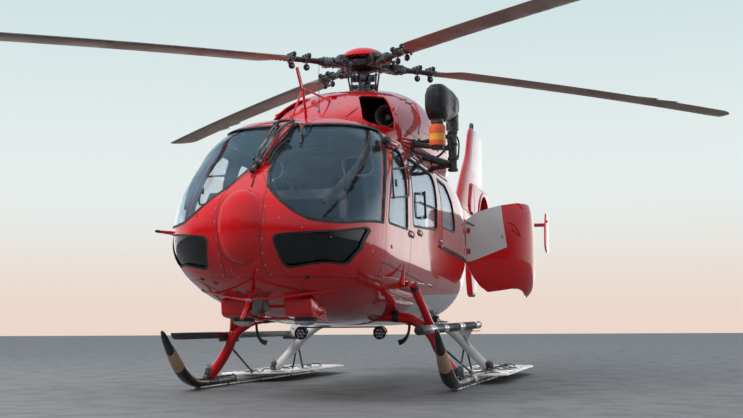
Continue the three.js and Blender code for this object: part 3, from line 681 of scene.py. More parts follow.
def new_material(name, **values):
    """A material, its node tree and its Principled shader, with values set on the shader."""
    material = bpy.data.materials.new(name)
    material.use_nodes = True
    shader = material.node_tree.nodes["Principled BSDF"]
    for label, value in values.items():
        shader.inputs[label].default_value = value
    return material, material.node_tree, shader


def finish(name, base, shade, rough, metallic=0.0, coat=0.0, grain=(500.0, 0.0004), blotch=(3.0, 0.4, 0.65),
           dust=None, wear=None, streaks=None, pattern=None, livery=(), specular=0.5, coat_ior=1.5):
    """A painted, moulded or metal finish with soft blotches, grain and, where it has them, dust and wear."""
    material, tree, shader = new_material(name, **{
        "Metallic": metallic, "Coat Weight": coat, "Coat Roughness": 0.03, "Coat IOR": coat_ior,
        "Specular IOR Level": specular})
    mask = use(tree, "blotches", Scale=blotch[0], Low=blotch[1], High=blotch[2]).outputs["Mask"]
    colour = mixed(tree, base, shade, mask)
    for other, build in livery:
        colour = mixed(tree, colour, other, build(tree))
    roughness = ramp(tree, mask, 0.0, 1.0, rough[0], rough[1])
    if pattern == "weave":
        weave = use(tree, "weave", Scale=grain[0])
        colour = mixed(tree, colour, tuple(min(1.0, c * 2.2 + 0.02) for c in base), weave.outputs["Tint"])
        height = weave.outputs["Height"]
    elif pattern == "brushed":
        height = use(tree, "brushed", Scale=grain[0]).outputs["Height"]
        roughness = math_node(tree, "ADD", roughness, math_node(tree, "MULTIPLY", height, 0.12))
    else:
        height = use(tree, "grain", Scale=grain[0]).outputs["Height"]
    if streaks:
        wet = use(tree, "streaks", Amount=streaks[1], Scale=streaks[2]).outputs["Mask"]
        colour = mixed(tree, colour, streaks[0], wet)
    if dust:
        dusty = use(tree, "dust", Amount=dust[1], Scale=dust[2]).outputs["Mask"]
        colour = mixed(tree, colour, dust[0], dusty)
        roughness = math_node(tree, "ADD", roughness, math_node(tree, "MULTIPLY", dusty, 0.4), clamp=True)
    if wear:
        worn = use(tree, "edge wear", Amount=wear[1], Scale=wear[2]).outputs["Mask"]
        colour = mixed(tree, colour, wear[0], worn)
    tree.links.new(colour, shader.inputs["Base Color"])
    tree.links.new(roughness, shader.inputs["Roughness"])
    if grain[1]:
        bump = node(tree, "ShaderNodeBump", Height=height, Distance=grain[1], Strength=0.6)
        tree.links.new(bump.outputs["Normal"], shader.inputs["Normal"])
    return material


def clear_pane(name, tint, least, most, rough=0.02, metallic=0.0):
    """Thin glazing: see-through face on and mirror-like along it, the same from both sides."""
    material, tree, shader = new_material(name, **{
        "Base Color": (*tint, 1.0), "Roughness": rough, "Metallic": metallic})
    along = node(tree, "ShaderNodeLayerWeight", Blend=0.5).outputs["Facing"]
    steep = math_node(tree, "POWER", along, 5.0 if metallic else 3.0)
    smear = use(tree, "blotches", Scale=5.0, Low=0.45, High=0.8).outputs["Mask"]
    bare = ramp(tree, steep, 0.0, 1.0, least, most) if not metallic else math_node(
        tree, "ADD", math_node(tree, "MULTIPLY", steep, most - least), least)
    alpha = math_node(tree, "ADD", bare, math_node(tree, "MULTIPLY", smear, 0.015), clamp=True)
    tree.links.new(alpha, shader.inputs["Alpha"])
    material.surface_render_method = "BLENDED"
    return material


def object_axis(tree, axis):
    where = node(tree, "ShaderNodeTexCoord").outputs["Object"]
    return node(tree, "ShaderNodeSeparateXYZ", Vector=where).outputs[axis]


def above_line(x0, z0, x1, z1, soft=0.004):
    """A colour block's edge in side view: 1 above the line through two points, listed rearwards."""
    def build(tree):
        slope = (z1 - z0) / (x1 - x0)
        offset = z0 - slope * (x0 + MAST_X)
        line = math_node(tree, "ADD", product(tree, object_axis(tree, "X"), slope), offset)
        return ramp(tree, math_node(tree, "SUBTRACT", object_axis(tree, "Z"), line), -soft, soft)
    return build


def behind(x, soft=0.004):
    """1 behind a station."""
    def build(tree):
        return ramp(tree, math_node(tree, "SUBTRACT", x + MAST_X, object_axis(tree, "X")), -soft, soft)
    return build


def both(*masks):
    return lambda tree: product(tree, *(mask(tree) for mask in masks))


def opposite(mask):
    return lambda tree: math_node(tree, "SUBTRACT", 1.0, mask(tree))


RED = (0.66, 0.006, 0.009)
DEEP_RED = (0.58, 0.005, 0.007)
WHITE = (0.76, 0.75, 0.73)
GREY_WHITE = (0.62, 0.61, 0.6)
PINK_WHITE = (0.72, 0.62, 0.61)
DUST = (0.42, 0.38, 0.33)
SOOT = (0.05, 0.045, 0.04)
BLADE_TOP = (0.11, 0.105, 0.1)

belly_block = both(opposite(above_line(1.6, 0.83, -1.6, 0.93)), behind(0.9))
fin_block = both(opposite(above_line(-6.51, 3.08, -6.93, 3.79)), above_line(-6.51, 3.08, -7.8, 3.04))


def red_gloss(name, *livery):
    """Red clear-coated paint, with blocks of other colours where it has them."""
    return finish(name, RED, DEEP_RED, (0.18, 0.26), coat=1.0, coat_ior=1.48, specular=0.1,
                  grain=(900.0, 0.00005),
                  blotch=(1.6, 0.35, 0.75), dust=(DUST, 0.025, 5.0), streaks=(SOOT, 0.1, 7.0), livery=livery)


FINISHES = {
    "red": red_gloss("red gloss paint"),
    "hull": red_gloss("red and pale hull paint", (GREY_WHITE, belly_block)),
    "fin": red_gloss("red and white fin paint", (PINK_WHITE, fin_block)),
    "pale_red": finish("pale gloss paint", (0.66, 0.62, 0.61), (0.6, 0.56, 0.55), (0.16, 0.25), coat=1.0,
                       grain=(900.0, 0.00005), dust=(DUST, 0.15, 5.0)),
    "white": finish("white gloss paint", WHITE, GREY_WHITE, (0.25, 0.38), coat=0.6, grain=(700.0, 0.0001),
                    dust=(DUST, 0.3, 6.0), wear=(SOOT, 0.5, 30.0), streaks=(SOOT, 0.1, 9.0)),
    "lining": finish("cabin lining", (0.3, 0.3, 0.31), (0.24, 0.24, 0.25), (0.6, 0.75),
                     grain=(260.0, 0.0008)),
    "rubber": finish("window rubber", (0.012, 0.012, 0.013), (0.03, 0.03, 0.03), (0.45, 0.62),
                     grain=(500.0, 0.0004), dust=(DUST, 0.15, 12.0)),
    "black": finish("black moulded plastic", (0.014, 0.014, 0.015), (0.028, 0.028, 0.03), (0.38, 0.55),
                    grain=(420.0, 0.0006), dust=(DUST, 0.2, 8.0), wear=((0.12, 0.12, 0.12), 0.5, 40.0)),
    "black_paint": finish("black tube paint", (0.012, 0.012, 0.013), (0.03, 0.029, 0.028), (0.28, 0.45),
                          coat=0.3, grain=(600.0, 0.0002), dust=(DUST, 0.25, 9.0),
                          wear=((0.35, 0.34, 0.33), 0.7, 40.0)),
    "dark_metal": finish("dark coated metal", (0.06, 0.06, 0.064), (0.03, 0.03, 0.032), (0.36, 0.52),
                         metallic=0.8,
                         grain=(300.0, 0.0004), blotch=(14.0, 0.4, 0.65),
                         wear=((0.55, 0.54, 0.52), 0.8, 50.0)),
    "steel": finish("bare steel", (0.5, 0.5, 0.5), (0.34, 0.33, 0.32), (0.24, 0.42), metallic=1.0,
                    grain=(80.0, 0.0002), blotch=(12.0, 0.4, 0.65), pattern="brushed"),
    "polished": finish("polished tube", (0.74, 0.75, 0.77), (0.6, 0.61, 0.63), (0.12, 0.24), metallic=1.0,
                       grain=(50.0, 0.0001), blotch=(8.0, 0.45, 0.7), pattern="brushed",
                       dust=(DUST, 0.15, 12.0)),
    "grey_metal": finish("grey anodised metal", (0.2, 0.205, 0.21), (0.12, 0.125, 0.13), (0.35, 0.5),
                         metallic=0.7, grain=(350.0, 0.0003), blotch=(10.0, 0.4, 0.65)),
    "grey_paint": finish("pale grey duct paint", (0.42, 0.43, 0.44), (0.3, 0.31, 0.32), (0.4, 0.55),
                         grain=(350.0, 0.0003), blotch=(10.0, 0.4, 0.65), dust=(SOOT, 0.3, 12.0)),
    "burnt": finish("heat-stained exhaust steel", (0.3, 0.24, 0.19), (0.12, 0.11, 0.13), (0.35, 0.6),
                    metallic=1.0, grain=(200.0, 0.0005), blotch=(7.0, 0.35, 0.6), dust=(SOOT, 0.6, 9.0)),
    "blade": finish("blade skin", (0.42, 0.31, 0.24), (0.34, 0.25, 0.2), (0.4, 0.55),
                    grain=(380.0, 0.0003), blotch=(2.5, 0.35, 0.7), dust=(DUST, 0.1, 3.0),
                    livery=[(BLADE_TOP, lambda tree: looking_up(tree, -0.08, 0.12))]),
    "blade_edge": finish("blade leading edge strip", (0.2, 0.19, 0.17), (0.32, 0.31, 0.29), (0.3, 0.5),
                         metallic=0.8, grain=(200.0, 0.0003), blotch=(18.0, 0.4, 0.6)),
    "orange": finish("orange rubber", (0.8, 0.14, 0.035), (0.68, 0.1, 0.03), (0.4, 0.55), coat=0.2,
                     grain=(300.0, 0.0006), dust=(DUST, 0.12, 10.0)),
    "yellow": finish("yellow band", (0.9, 0.42, 0.05), (0.8, 0.34, 0.04), (0.4, 0.55), grain=(300.0, 0.0005)),
    "cloth": finish("seat cloth", (0.022, 0.026, 0.034), (0.032, 0.036, 0.046), (0.85, 0.95),
                    grain=(420.0, 0.0012), pattern="weave", specular=0.2),
    "strap": finish("seat belt webbing", (0.05, 0.05, 0.055), (0.07, 0.07, 0.075), (0.7, 0.85),
                    grain=(700.0, 0.0008), pattern="weave"),
    "tan": finish("tan anti-chafe patch", (0.55, 0.36, 0.22), (0.42, 0.27, 0.17), (0.6, 0.75),
                  grain=(260.0, 0.0008), dust=(SOOT, 0.3, 14.0)),
    "screen": finish("switched-off display", (0.006, 0.007, 0.009), (0.01, 0.012, 0.016), (0.08, 0.14),
                     coat=1.0, grain=(200.0, 0.00002)),
    "floor_mat": finish("cabin floor mat", (0.1, 0.1, 0.105), (0.14, 0.14, 0.14), (0.7, 0.85),
                        grain=(180.0, 0.0015), dust=(DUST, 0.4, 8.0)),
    "lamp_glass": finish("lamp reflector glass", (0.75, 0.76, 0.78), (0.5, 0.52, 0.55), (0.05, 0.12),
                         metallic=0.9, coat=1.0, grain=(90.0, 0.002), blotch=(40.0, 0.4, 0.6)),
    "red_lens": finish("red beacon lens", (0.45, 0.01, 0.01), (0.35, 0.008, 0.008), (0.08, 0.15), coat=1.0,
                       grain=(120.0, 0.001)),
    "pane": clear_pane("clear cabin glazing", (0.62, 0.84, 0.98), 0.045, 0.95, metallic=1.0),
    "dark_pane": clear_pane("dark chin glazing", (0.006, 0.007, 0.008), 0.86, 0.97),
}


# The scene: camera first
def camera_at_photo():
    """The camera solved from the photograph: place and axes beside the machine."""
    centre = Vector((10.9067 + MAST_X, 2.9146, 0.5645))
    ahead = Vector((-0.96222585, -0.25025055, 0.10721979))
    right = Vector((-0.25235119, 0.96761538, -0.00627272))
    up = Vector((0.10217776, 0.03309282, 0.99421556))
    data = bpy.data.cameras.new("photo camera")
    focal_pixels, frame_pixels = 1087.17, 743
    data.sensor_width = 36.0
    data.lens = focal_pixels * data.sensor_width / frame_pixels
    data.clip_end = 200.0
    camera = bpy.data.objects.new("photo camera", data)
    turn = Matrix((right, up, -ahead)).transposed().to_4x4()
    camera.matrix_world = Matrix.Translation(centre) @ turn
    bpy.context.scene.collection.objects.link(camera)
    bpy.context.scene.camera = camera


def floor_and_light():
    bm = bmesh.new()
    bmesh.ops.create_grid(bm, x_segments=8, y_segments=8, size=60)
    floor = bpy.data.objects.new("studio floor", mesh_of(bm))
    floor.data.materials.append(finish("studio floor", (0.18, 0.18, 0.18), (0.16, 0.16, 0.16), (0.6, 0.75),
                                       grain=(40.0, 0.0004)))
    bpy.context.scene.collection.objects.link(floor)

    world = bpy.data.worlds.new("soft studio")
    bpy.context.scene.world = world
    world.use_nodes = True
    tree = world.node_tree
    background = tree.nodes["Background"]
    where = node(tree, "ShaderNodeTexCoord").outputs["Generated"]
    height = node(tree, "ShaderNodeSeparateXYZ", Vector=where).outputs["Z"]
    towards_tail = math_node(tree, "MULTIPLY", node(tree, "ShaderNodeSeparateXYZ", Vector=where).outputs["X"],
                             -1.0)
    # Light: bright low behind the tail, dark low behind the camera, soft blue above
    horizon = mixed(tree, (0.07, 0.065, 0.07), (1.45, 1.38, 1.36), ramp(tree, towards_tail, -0.35, 0.85))
    # Reflections see a dimmer sky overhead, so that the paint keeps its depth
    mirrored = node(tree, "ShaderNodeLightPath").outputs["Is Glossy Ray"]
    above = mixed(tree, (0.82, 0.87, 0.92), (0.42, 0.55, 0.64), mirrored)
    light = mixed(tree, horizon, above, ramp(tree, height, 0.05, 0.35))
    # Backdrop that the camera sees: pale warm low, pale blue-green higher
    low = mixed(tree, (0.84, 0.68, 0.59), (0.79, 0.85, 0.84), ramp(tree, height, 0.0, 0.13))
    backdrop = mixed(tree, low, (0.62, 0.76, 0.78), ramp(tree, height, 0.12, 0.33))
    seen = node(tree, "ShaderNodeLightPath").outputs["Is Camera Ray"]
    tree.links.new(mixed(tree, light, backdrop, seen), background.inputs["Color"])
    background.inputs["Strength"].default_value = 1.0
    bpy.context.scene.view_settings.view_transform = "Standard"

    lamp = bpy.data.lights.new("soft key light", "AREA")
    lamp.size = 6.0
    lamp.energy = 1500.0
    key = bpy.data.objects.new("soft key light", lamp)
    start, end = Vector((9.5, -8.0, 11.0)), Vector((1.5, 0.0, 1.5))
    turn = Vector((0, 0, -1)).rotation_difference(end - start).to_matrix().to_4x4()
    key.matrix_world = Matrix.Translation(start) @ turn
    key.visible_glossy = False
    bpy.context.scene.collection.objects.link(key)


camera_at_photo()
floor_and_light()


# The hull and its panels, cut from one smooth body
hull_outer = mesh_of(body_loft(HULL))
hull_guide = surface_guide(hull_outer)
hull_inner = mesh_of(body_loft(HULL, WALL))
inner_guide = surface_guide(hull_inner)
glass_outer = mesh_of(body_loft(HULL, GLASS_DEPTH))
glass_guide = surface_guide(glass_outer)
glass_shell = combine(glass_outer, ("DIFFERENCE", body_loft(HULL, GLASS_DEPTH + GLASS_THICKNESS)))
SEAL_LIFT = 0.0015
SEAL_DEPTH = 0.02
seal_outer = mesh_of(body_loft(HULL, -SEAL_LIFT))
seal_guide = surface_guide(seal_outer)
seal_shell = combine(seal_outer, ("DIFFERENCE", body_loft(HULL, SEAL_DEPTH)))


whole_shell = combine(hull_outer, ("DIFFERENCE", hull_inner))
hull_shell = combine(whole_shell, ("INTERSECT", block((-3, -1.5, FLOOR_TOP + 0.001), (4, 1.5, 3))))


def windshield_cut(sign, distance=0.0):
    front = rounded(grown(WINDSHIELD_FRONT, distance), 0.05)
    side = prism(rounded(grown(WINDSHIELD_SIDE, distance), 0.12), "y", -1.4, 1.4)
    return combine(prism(flipped(front, sign), "x", 1.8, 3.9), ("INTERSECT", side))


def chin_cut(sign, distance=0.0):
    return prism(flipped(rounded(grown(CHIN_FRONT, distance), 0.05), sign), "x", 2.5, 3.9)


def opening(outline, radius, sign, distance=0.0):
    return side_prism(rounded(grown(outline, distance), radius), sign)


def lined(mesh, reach=0.004):
    """Faces on the body's inner surface take the second finish, the lining."""
    for polygon in mesh.polygons:
        _, normal, _, distance = inner_guide[0].find_nearest(polygon.center)
        if distance < reach and polygon.normal.dot(normal) < 0:
            polygon.material_index = 1


def hull_panels():
    nose_zone = block((NOSE_BACK, -1.4, 0), (4, 1.4, NOSE_TOP))
    nose_clear = block((NOSE_BACK - 0.003, -1.4, 0), (4, 1.4, NOSE_TOP + 0.003))
    frame_cuts = [("DIFFERENCE", nose_clear), ("DIFFERENCE", prism(CLAMSHELL, "y", -1.4, 1.4))]
    nose_cuts = [("INTERSECT", nose_zone)]
    for _, sign in SIDES:
        frame_cuts.append(("DIFFERENCE", opening(CREW_DOOR, 0.05, sign)))
        frame_cuts.append(("DIFFERENCE", opening(SLIDING_DOOR, 0.03, sign, 0.002)))
        frame_cuts.append(("DIFFERENCE", opening(QUARTER_WINDOW, 0.09, sign)))
        frame_cuts.append(("DIFFERENCE", windshield_cut(sign)))
        nose_cuts.append(("DIFFERENCE", windshield_cut(sign)))
        nose_cuts.append(("DIFFERENCE", chin_cut(sign)))
    for name, source, cuts in (("cabin_frame", hull_shell, frame_cuts),
                               ("nose_shell", hull_shell, nose_cuts)):
        mesh = combine(source, *cuts)
        keep_smooth(mesh, (hull_guide, inner_guide))
        lined(mesh)
        place(f"{name}_skin", mesh, "airframe", ("hull", "lining"), (name,), "red_paint")

    under = block((-3, -1.5, 0), (4, 1.5, FLOOR_TOP - 0.001))
    channels = [("DIFFERENCE", block((x - 0.06, -1.5, 0), (x + 0.06, 1.5, 0.712)))
                for x in (FRONT_TUBE_X, REAR_TUBE_X)]
    clamshells = ("DIFFERENCE", prism(CLAMSHELL, "y", -1.4, 1.4))
    mesh = combine(hull_outer, ("INTERSECT", under), *channels, clamshells)
    keep_smooth(mesh, (hull_guide,))
    tub = place("belly_skin", mesh, "airframe", ("hull", "floor_mat"), ("cabin_tub",), "red_paint")
    for polygon in tub.data.polygons:
        if polygon.normal.z > 0.9 and polygon.center.z > FLOOR_TOP - 0.01:
            polygon.material_index = 1


def side_cut(outline, corner):
    return lambda sign, distance: opening(outline, corner, sign, distance)


# Windows: name, its pane, its cutter, the pane's finish, the seal's reach outwards and inwards
WINDOWS = (
    ("windshield", "windshield", windshield_cut, "pane", 0.008, 0.012),
    ("chin_window", "chin_window", chin_cut, "dark_pane", 0.006, 0.008),
    ("quarter_window", "quarter_window", side_cut(QUARTER_WINDOW, 0.09), "pane", 0.007, 0.012),
    ("crew_window", "crew_door_glass", side_cut(CREW_WINDOW, 0.05), "pane", 0.006, 0.014),
    ("sliding_window", "sliding_door_glass", side_cut(SLIDING_WINDOW, 0.09), "pane", 0.008, 0.016),
)
PANE_GAP = 0.001


def glazing():
    for side, sign in SIDES:
        bodies = [f"crew_door_{side}_body" if row[0] == "crew_window" else "airframe" for row in WINDOWS]
        for body, (_, pane, cutter, finish_name, _, _) in zip(bodies, WINDOWS):
            mesh = combine(glass_shell, ("INTERSECT", cutter(sign, -PANE_GAP)))
            keep_smooth(mesh, (glass_guide,))
            place(f"{pane}_{side}_pane", mesh, body, (finish_name,), (f"{pane}_{side}",), "clear_glazing")
        for body, (name, _, cutter, _, outwards, inwards) in zip(bodies, WINDOWS):
            ring = (("INTERSECT", cutter(sign, outwards)), ("DIFFERENCE", cutter(sign, -inwards)))
            mesh = combine(seal_shell, *ring)
            keep_smooth(mesh, (seal_guide,))
            place(f"{name}_seal_{side}", mesh, body, ("rubber",), slot="black_plastic")


def doors():
    for side, sign in SIDES:
        crew = combine(hull_shell, ("INTERSECT", opening(CREW_DOOR, 0.05, sign, -DOOR_GAP)),
                       ("DIFFERENCE", opening(CREW_WINDOW, 0.05, sign)))
        sliding = combine(hull_shell, ("INTERSECT", opening(SLIDING_DOOR, 0.03, sign, -0.002)),
                          ("DIFFERENCE", opening(SLIDING_WINDOW, 0.09, sign)))
        for name, mesh, body in (("crew_door", crew, f"crew_door_{side}_body"),
                                 ("sliding_door", sliding, "airframe")):
            keep_smooth(mesh, (hull_guide, inner_guide))
            lined(mesh)
            place(f"{name}_{side}_skin", mesh, body, ("hull", "lining"), (f"{name}_{side}",), "red_paint")


hull_panels()
glazing()
doors()


# Engine cowling and what shows inside its intakes
cowl_outer = mesh_of(body_loft(COWL, rings=90, around=88))
cowl_guide = surface_guide(cowl_outer)
COWL_WALL = 0.016
EXHAUST_Y = 0.33
EXHAUST_Z = 2.62
INLET_Y = 0.44
INLET_Z = 2.595
COWL_SCREW = [(0, -0.002), (0.008, -0.002), (0.008, 0.002), (0.006, 0.0035), (0, 0.0035)]


def cylinder(start, end, radius, segments=36):
    start, end = Vector(start), Vector(end)
    bm = bmesh.new()
    bmesh.ops.create_cone(bm, cap_ends=True, segments=segments, radius1=radius, radius2=radius,
                          depth=(end - start).length)
    return moved(bm, standing((start + end) / 2, end - start))


def exhaust_line(sign, x):
    """The exhaust pipe's centre at a station, toeing slightly outwards to the rear."""
    t = (x + 1.0) / -1.7
    return Vector((x, sign * EXHAUST_Y * (1 + 0.25 * t), EXHAUST_Z + 0.03 * t))


def cowling():
    mouths = [("DIFFERENCE", prism(flipped(rounded(INTAKE_MOUTH, 0.05), sign), "x", 0.82, 2.0))
              for _, sign in SIDES]
    pipes = [("DIFFERENCE", cylinder(exhaust_line(sign, -1.0), exhaust_line(sign, -2.7), 0.126))
             for _, sign in SIDES]
    mast = [("DIFFERENCE", cylinder((0, 0, 2.7), (0, 0, 3.1), 0.225))]
    inner = mesh_of(body_loft(COWL, COWL_WALL, 90, 88))
    under = mesh_of(body_loft(HULL, -CLEAR))
    mesh = combine(cowl_outer, ("DIFFERENCE", inner), ("DIFFERENCE", under), *mouths, *pipes, *mast)
    keep_smooth(mesh, (cowl_guide,))
    skin = place("engine_cowling_skin", mesh, "airframe", ("red", "black"), ("engine_cowling",),
                 "red_paint")
    tree = surface_guide(inner)[0]
    for polygon in skin.data.polygons:
        middle = polygon.center - Vector((MAST_X, 0, 0))
        if tree.find_nearest(middle)[3] < 0.002:
            polygon.material_index = 1


def engines():
    for side, sign in SIDES:
        part = Part(f"engine_{side}_detail", "airframe", "dark_metal", "grey_paint", "burnt",
                    "black", slot="dark_metal", replaces=(f"engine_{side}",))
        y = sign * INLET_Y
        part.box((-1.25, sign * 0.4 - 0.14, 2.4), (-0.35, sign * 0.4 + 0.14, 2.7), 0, 0.03)
        part.rod((-0.36, y, INLET_Z), (0.4, y, INLET_Z), 0.105, 0, segments=32)
        for x in (-1.1, -0.9, -0.7, -0.5):
            part.box((x - 0.012, sign * 0.4 - 0.146, 2.394), (x + 0.012, sign * 0.4 + 0.146, 2.706), 1, 0.004)
        rings = [(0.113, 0.0), (0.115, 0.02), (0.112, 0.04), (0.1, 0.045), (0.097, -0.1), (0.07, -0.2),
                 (0.068, -0.4), (0.0, -0.42)]
        part.turned([(0.0, -0.45), (0.113, -0.45), *rings], (0.775, y, INLET_Z), (1, 0, 0), 1, 40)
        for radius, x in ((0.107, 0.828), (0.085, 0.72)):
            part.turned([(radius - 0.004, -0.004), (radius + 0.004, -0.004), (radius + 0.004, 0.004),
                         (radius - 0.004, 0.004), (radius - 0.004, -0.004)], (x - 0.015, y, INLET_Z),
                         (1, 0, 0), 3, 40)
        for a in all_round(6):
            part.rod((0.7, y, INLET_Z), (0.7, y + 0.085 * math.cos(a), INLET_Z + 0.085 * math.sin(a)), 0.004,
                     0)
        part.ball((0.72, y, INLET_Z), 0.03, 1)
        start, end = exhaust_line(sign, -1.3), exhaust_line(sign, -2.15)
        axis = (end - start).normalized()
        length = (end - start).length
        pipe = [(0.104, 0.0), (0.116, 0.0), (0.116, length - 0.02), (0.119, length - 0.01),
                (0.117, length), (0.109, length), (0.104, length - 0.3), (0.104, 0.0)]
        part.turned(pipe, start, axis, 2, 48)
        part.turned([(0.0, 0.25), (0.103, 0.25), (0.103, 0.27), (0.0, 0.27)], start, axis, 3, 32)
        part.done()


def cowl_height(x, y):
    """The cowling's skin height over a point."""
    tree = cowl_guide[0]
    hit = tree.ray_cast(Vector((x, y, 4.0)), Vector((0, 0, -1)))
    return hit[0].z if hit[0] else 2.4


def cowl_side(x, z, sign):
    """The cowling's skin, met from the side."""
    hit = cowl_guide[0].ray_cast(Vector((x, sign * 2.0, z)), Vector((0, -sign, 0)))
    return hit[0] if hit[0] else Vector((x, sign * 0.7, z))


def on_cowl(point):
    """The nearest place on the cowling's skin."""
    return cowl_guide[0].find_nearest(Vector(point))[0]


def cowling_fittings():
    trim = Part("cowling_fittings", "airframe", "red", "black", "steel", "grey_metal",
                slot="red_paint")
    # Floor and inner walls of the intake bay, and the plate behind the mouths
    trim.box((0.36, -0.6, 2.36), (0.38, 0.6, 2.72), 1, 0.002)
    for _, sign in SIDES:
        trim.box((0.4, sign * 0.2 - 0.006, 2.36), (1.12, sign * 0.2 + 0.006, 2.7), 0, 0.002)
        # Rain gutter down the flank, rolled lip round the mouth, and the slots beside it
        gutter = [on_cowl((x, sign * y, z)) for x, y, z in smooth_path(
            [(0.24, 0.585, 2.83), (0.34, 0.64, 2.76), (0.483, 0.693, 2.65), (0.558, 0.717, 2.554),
             (0.664, 0.721, 2.456)], 5)]
        trim.tube(gutter, [0.004, 0.013, 0.014, 0.014, 0.012, 0.004], 0, 10, 1)
        lip = []
        for y, z in rounded(INTAKE_MOUTH, 0.05):
            hit = cowl_guide[0].ray_cast(Vector((4.0, sign * y, z)), Vector((-1, 0, 0)))
            if hit[0] and hit[0].x > 0.7:
                lip.append(hit[0])
        trim.tube(lip + lip[:1], 0.008, 0, 8, 1)
        for course in (((1.72, 0.075, 2.42), (1.72, 0.13, 2.422), (1.71, 0.19, 2.42)),
                       ((1.637, 0.272, 2.438), (1.53, 0.3, 2.5), (1.413, 0.323, 2.561))):
            trim.tube([on_cowl((x, sign * y, z)) for x, y, z in course], [0.008, 0.013, 0.008], 0, 10, 4)
        crease = [on_cowl((x, sign * y, z)) for x, y, z in
                  ((1.13, 0.6, 2.55), (1.1, 0.613, 2.53), (1.02, 0.67, 2.41), (0.85, 0.7, 2.385),
                   (0.63, 0.73, 2.37))]
        trim.tube(crease, 0.003, 1, 6, 4)
        for x in (0.62, 0.0, -0.55, -1.1, -1.65):
            spot = cowl_side(x, 2.44, sign)
            trim.box(spot + Vector((-0.035, -0.006, -0.014)), spot + Vector((0.035, 0.006, 0.014)), 2, 0.003)
        for x in (-0.35, -1.0, -1.6):
            line = [cowl_side(x, z, sign) + Vector((0, sign * 0.0006, 0)) for z in (2.4, INLET_Z, 2.7, 2.8)]
            trim.tube(line, 0.0022, 1, 6)
        line = [cowl_side(x, 2.47, sign) + Vector((0, sign * 0.0006, 0)) for x in
                (0.75, 0.4, 0.0, -0.5, -1.0, -1.5, -2.0)]
        trim.tube(line, 0.0022, 1, 6)
        for x, z, tilt in ((1.02, 2.62, 0.35), (-0.7, 2.6, 0.0)):
            spot = cowl_side(x, z, sign)
            turn = Matrix.Rotation(tilt, 4, "Y")
            trim.box(spot + Vector((-0.09, -0.008, -0.018)), spot + Vector((0.09, 0.008, 0.018)), 0, 0.008,
                     turn)
        # Cooling grille on the rear flank
        for k in range(9):
            spot = cowl_side(-1.35 - 0.035 * k, 2.62, sign)
            trim.box(spot + Vector((-0.006, -0.01, -0.07)), spot + Vector((0.006, 0.008, 0.07)), 1, 0.002)
    for x in (1.35, 1.12, 0.15, -0.4, -0.9, -1.4, -1.9, -2.3):
        for y in (-0.12, 0.12):
            z = cowl_height(x, y)
            trim.turned(COWL_SCREW, (x, y, z), (0, 0, 1), 2, 10)
    for a in all_round(20):
        x, y = 0.245 * math.cos(a), 0.245 * math.sin(a)
        trim.turned(COWL_SCREW, (x, y, cowl_height(x, y)), (0, 0, 1), 2, 10)
    trim.done()


cowling()
engines()
cowling_fittings()


def both_faces(upper):
    """An aerofoil's whole outline from its upper face."""
    return [*upper, *((a, -b) for a, b in reversed(upper[1:]))]


# Rotor head and blades, drawn flat about the hub and tilted with the mast
HUB_PLACE = Matrix.Translation((0, 0, HUB_HEIGHT)) @ Matrix.Rotation(MAST_TILT, 4, "Y")
BLADE_ROOT = 0.9
BLADE_SHOULDER = 1.15
TIP_TAPER = 5.25
ROTOR_RADIUS = 5.5
BLADE_CHORD = 0.325
BLADE_THICKNESS = 0.036
BLADE_DROOP = 0.15


def blade_turn(i):
    return HUB_PLACE @ Matrix.Rotation(ROTOR_PHASE + i * math.pi / 2, 4, "Z")


def rotor_mast():
    mast = Part("rotor_mast_detail", "main_rotor", "grey_metal", "dark_metal", "steel", "black",
                slot="dark_metal", replaces=("rotor_mast",))
    mast.matrix = HUB_PLACE
    mast.turned([(0, -0.638), (0.06, -0.638), (0.06, -0.3), (0.072, -0.285), (0.072, -0.262), (0.058, -0.25),
                 (0.058, -0.1), (0.07, -0.085), (0.07, -0.067), (0, -0.067)], finish=0, segments=40)
    mast.turned([(0, -0.383), (0.12, -0.383), (0.175, -0.378), (0.19, -0.365), (0.18, -0.345), (0.12, -0.337),
                 (0, -0.337)], finish=1, segments=48)
    mast.turned([(0, -0.29), (0.112, -0.29), (0.118, -0.283), (0.118, -0.27), (0.112, -0.263), (0, -0.263)],
                finish=0, segments=48)
    for i in range(4):
        mast.matrix = blade_turn(i)
        mast.rod((0.165, 0.05, -0.36), (0.203, 0.079, -0.05), 0.0095, 1)
        for spot in ((0.166, 0.051, -0.345), (0.202, 0.078, -0.06)):
            mast.ball(spot, 0.017, 1, segments=12)
        for a in all_round(24)[:6]:
            x, y = 0.1 * math.cos(a), 0.1 * math.sin(a)
            mast.rod((x, y, -0.275), (x, y, -0.253), 0.007, 2, segments=6)
    # Scissor links, collars and junction boxes round the mast
    for k in range(4):
        mast.matrix = HUB_PLACE @ Matrix.Rotation(0.2 + k * math.pi / 2, 4, "Z")
        mast.box((0.055, -0.035, -0.17), (0.12, 0.035, -0.1), 1, 0.01)
        mast.box((0.06, -0.022, -0.25), (0.15, 0.022, -0.2), 1, 0.008)
        mast.rod((0.13, 0, -0.335), (0.14, 0, -0.22), 0.014, 1, segments=14)
        mast.rod((0.11, -0.03, -0.135), (0.11, 0.03, -0.135), 0.012, 2, segments=12)
    mast.matrix = HUB_PLACE @ Matrix.Rotation(0.9, 4, "Z")
    mast.box((0.05, -0.02, -0.2), (0.105, 0.02, -0.12), 1, 0.006)
    mast.tube([(0.09, 0.0, -0.2), (0.12, 0.02, -0.24), (0.11, 0.03, -0.28)], 0.008, 3)
    mast.done()


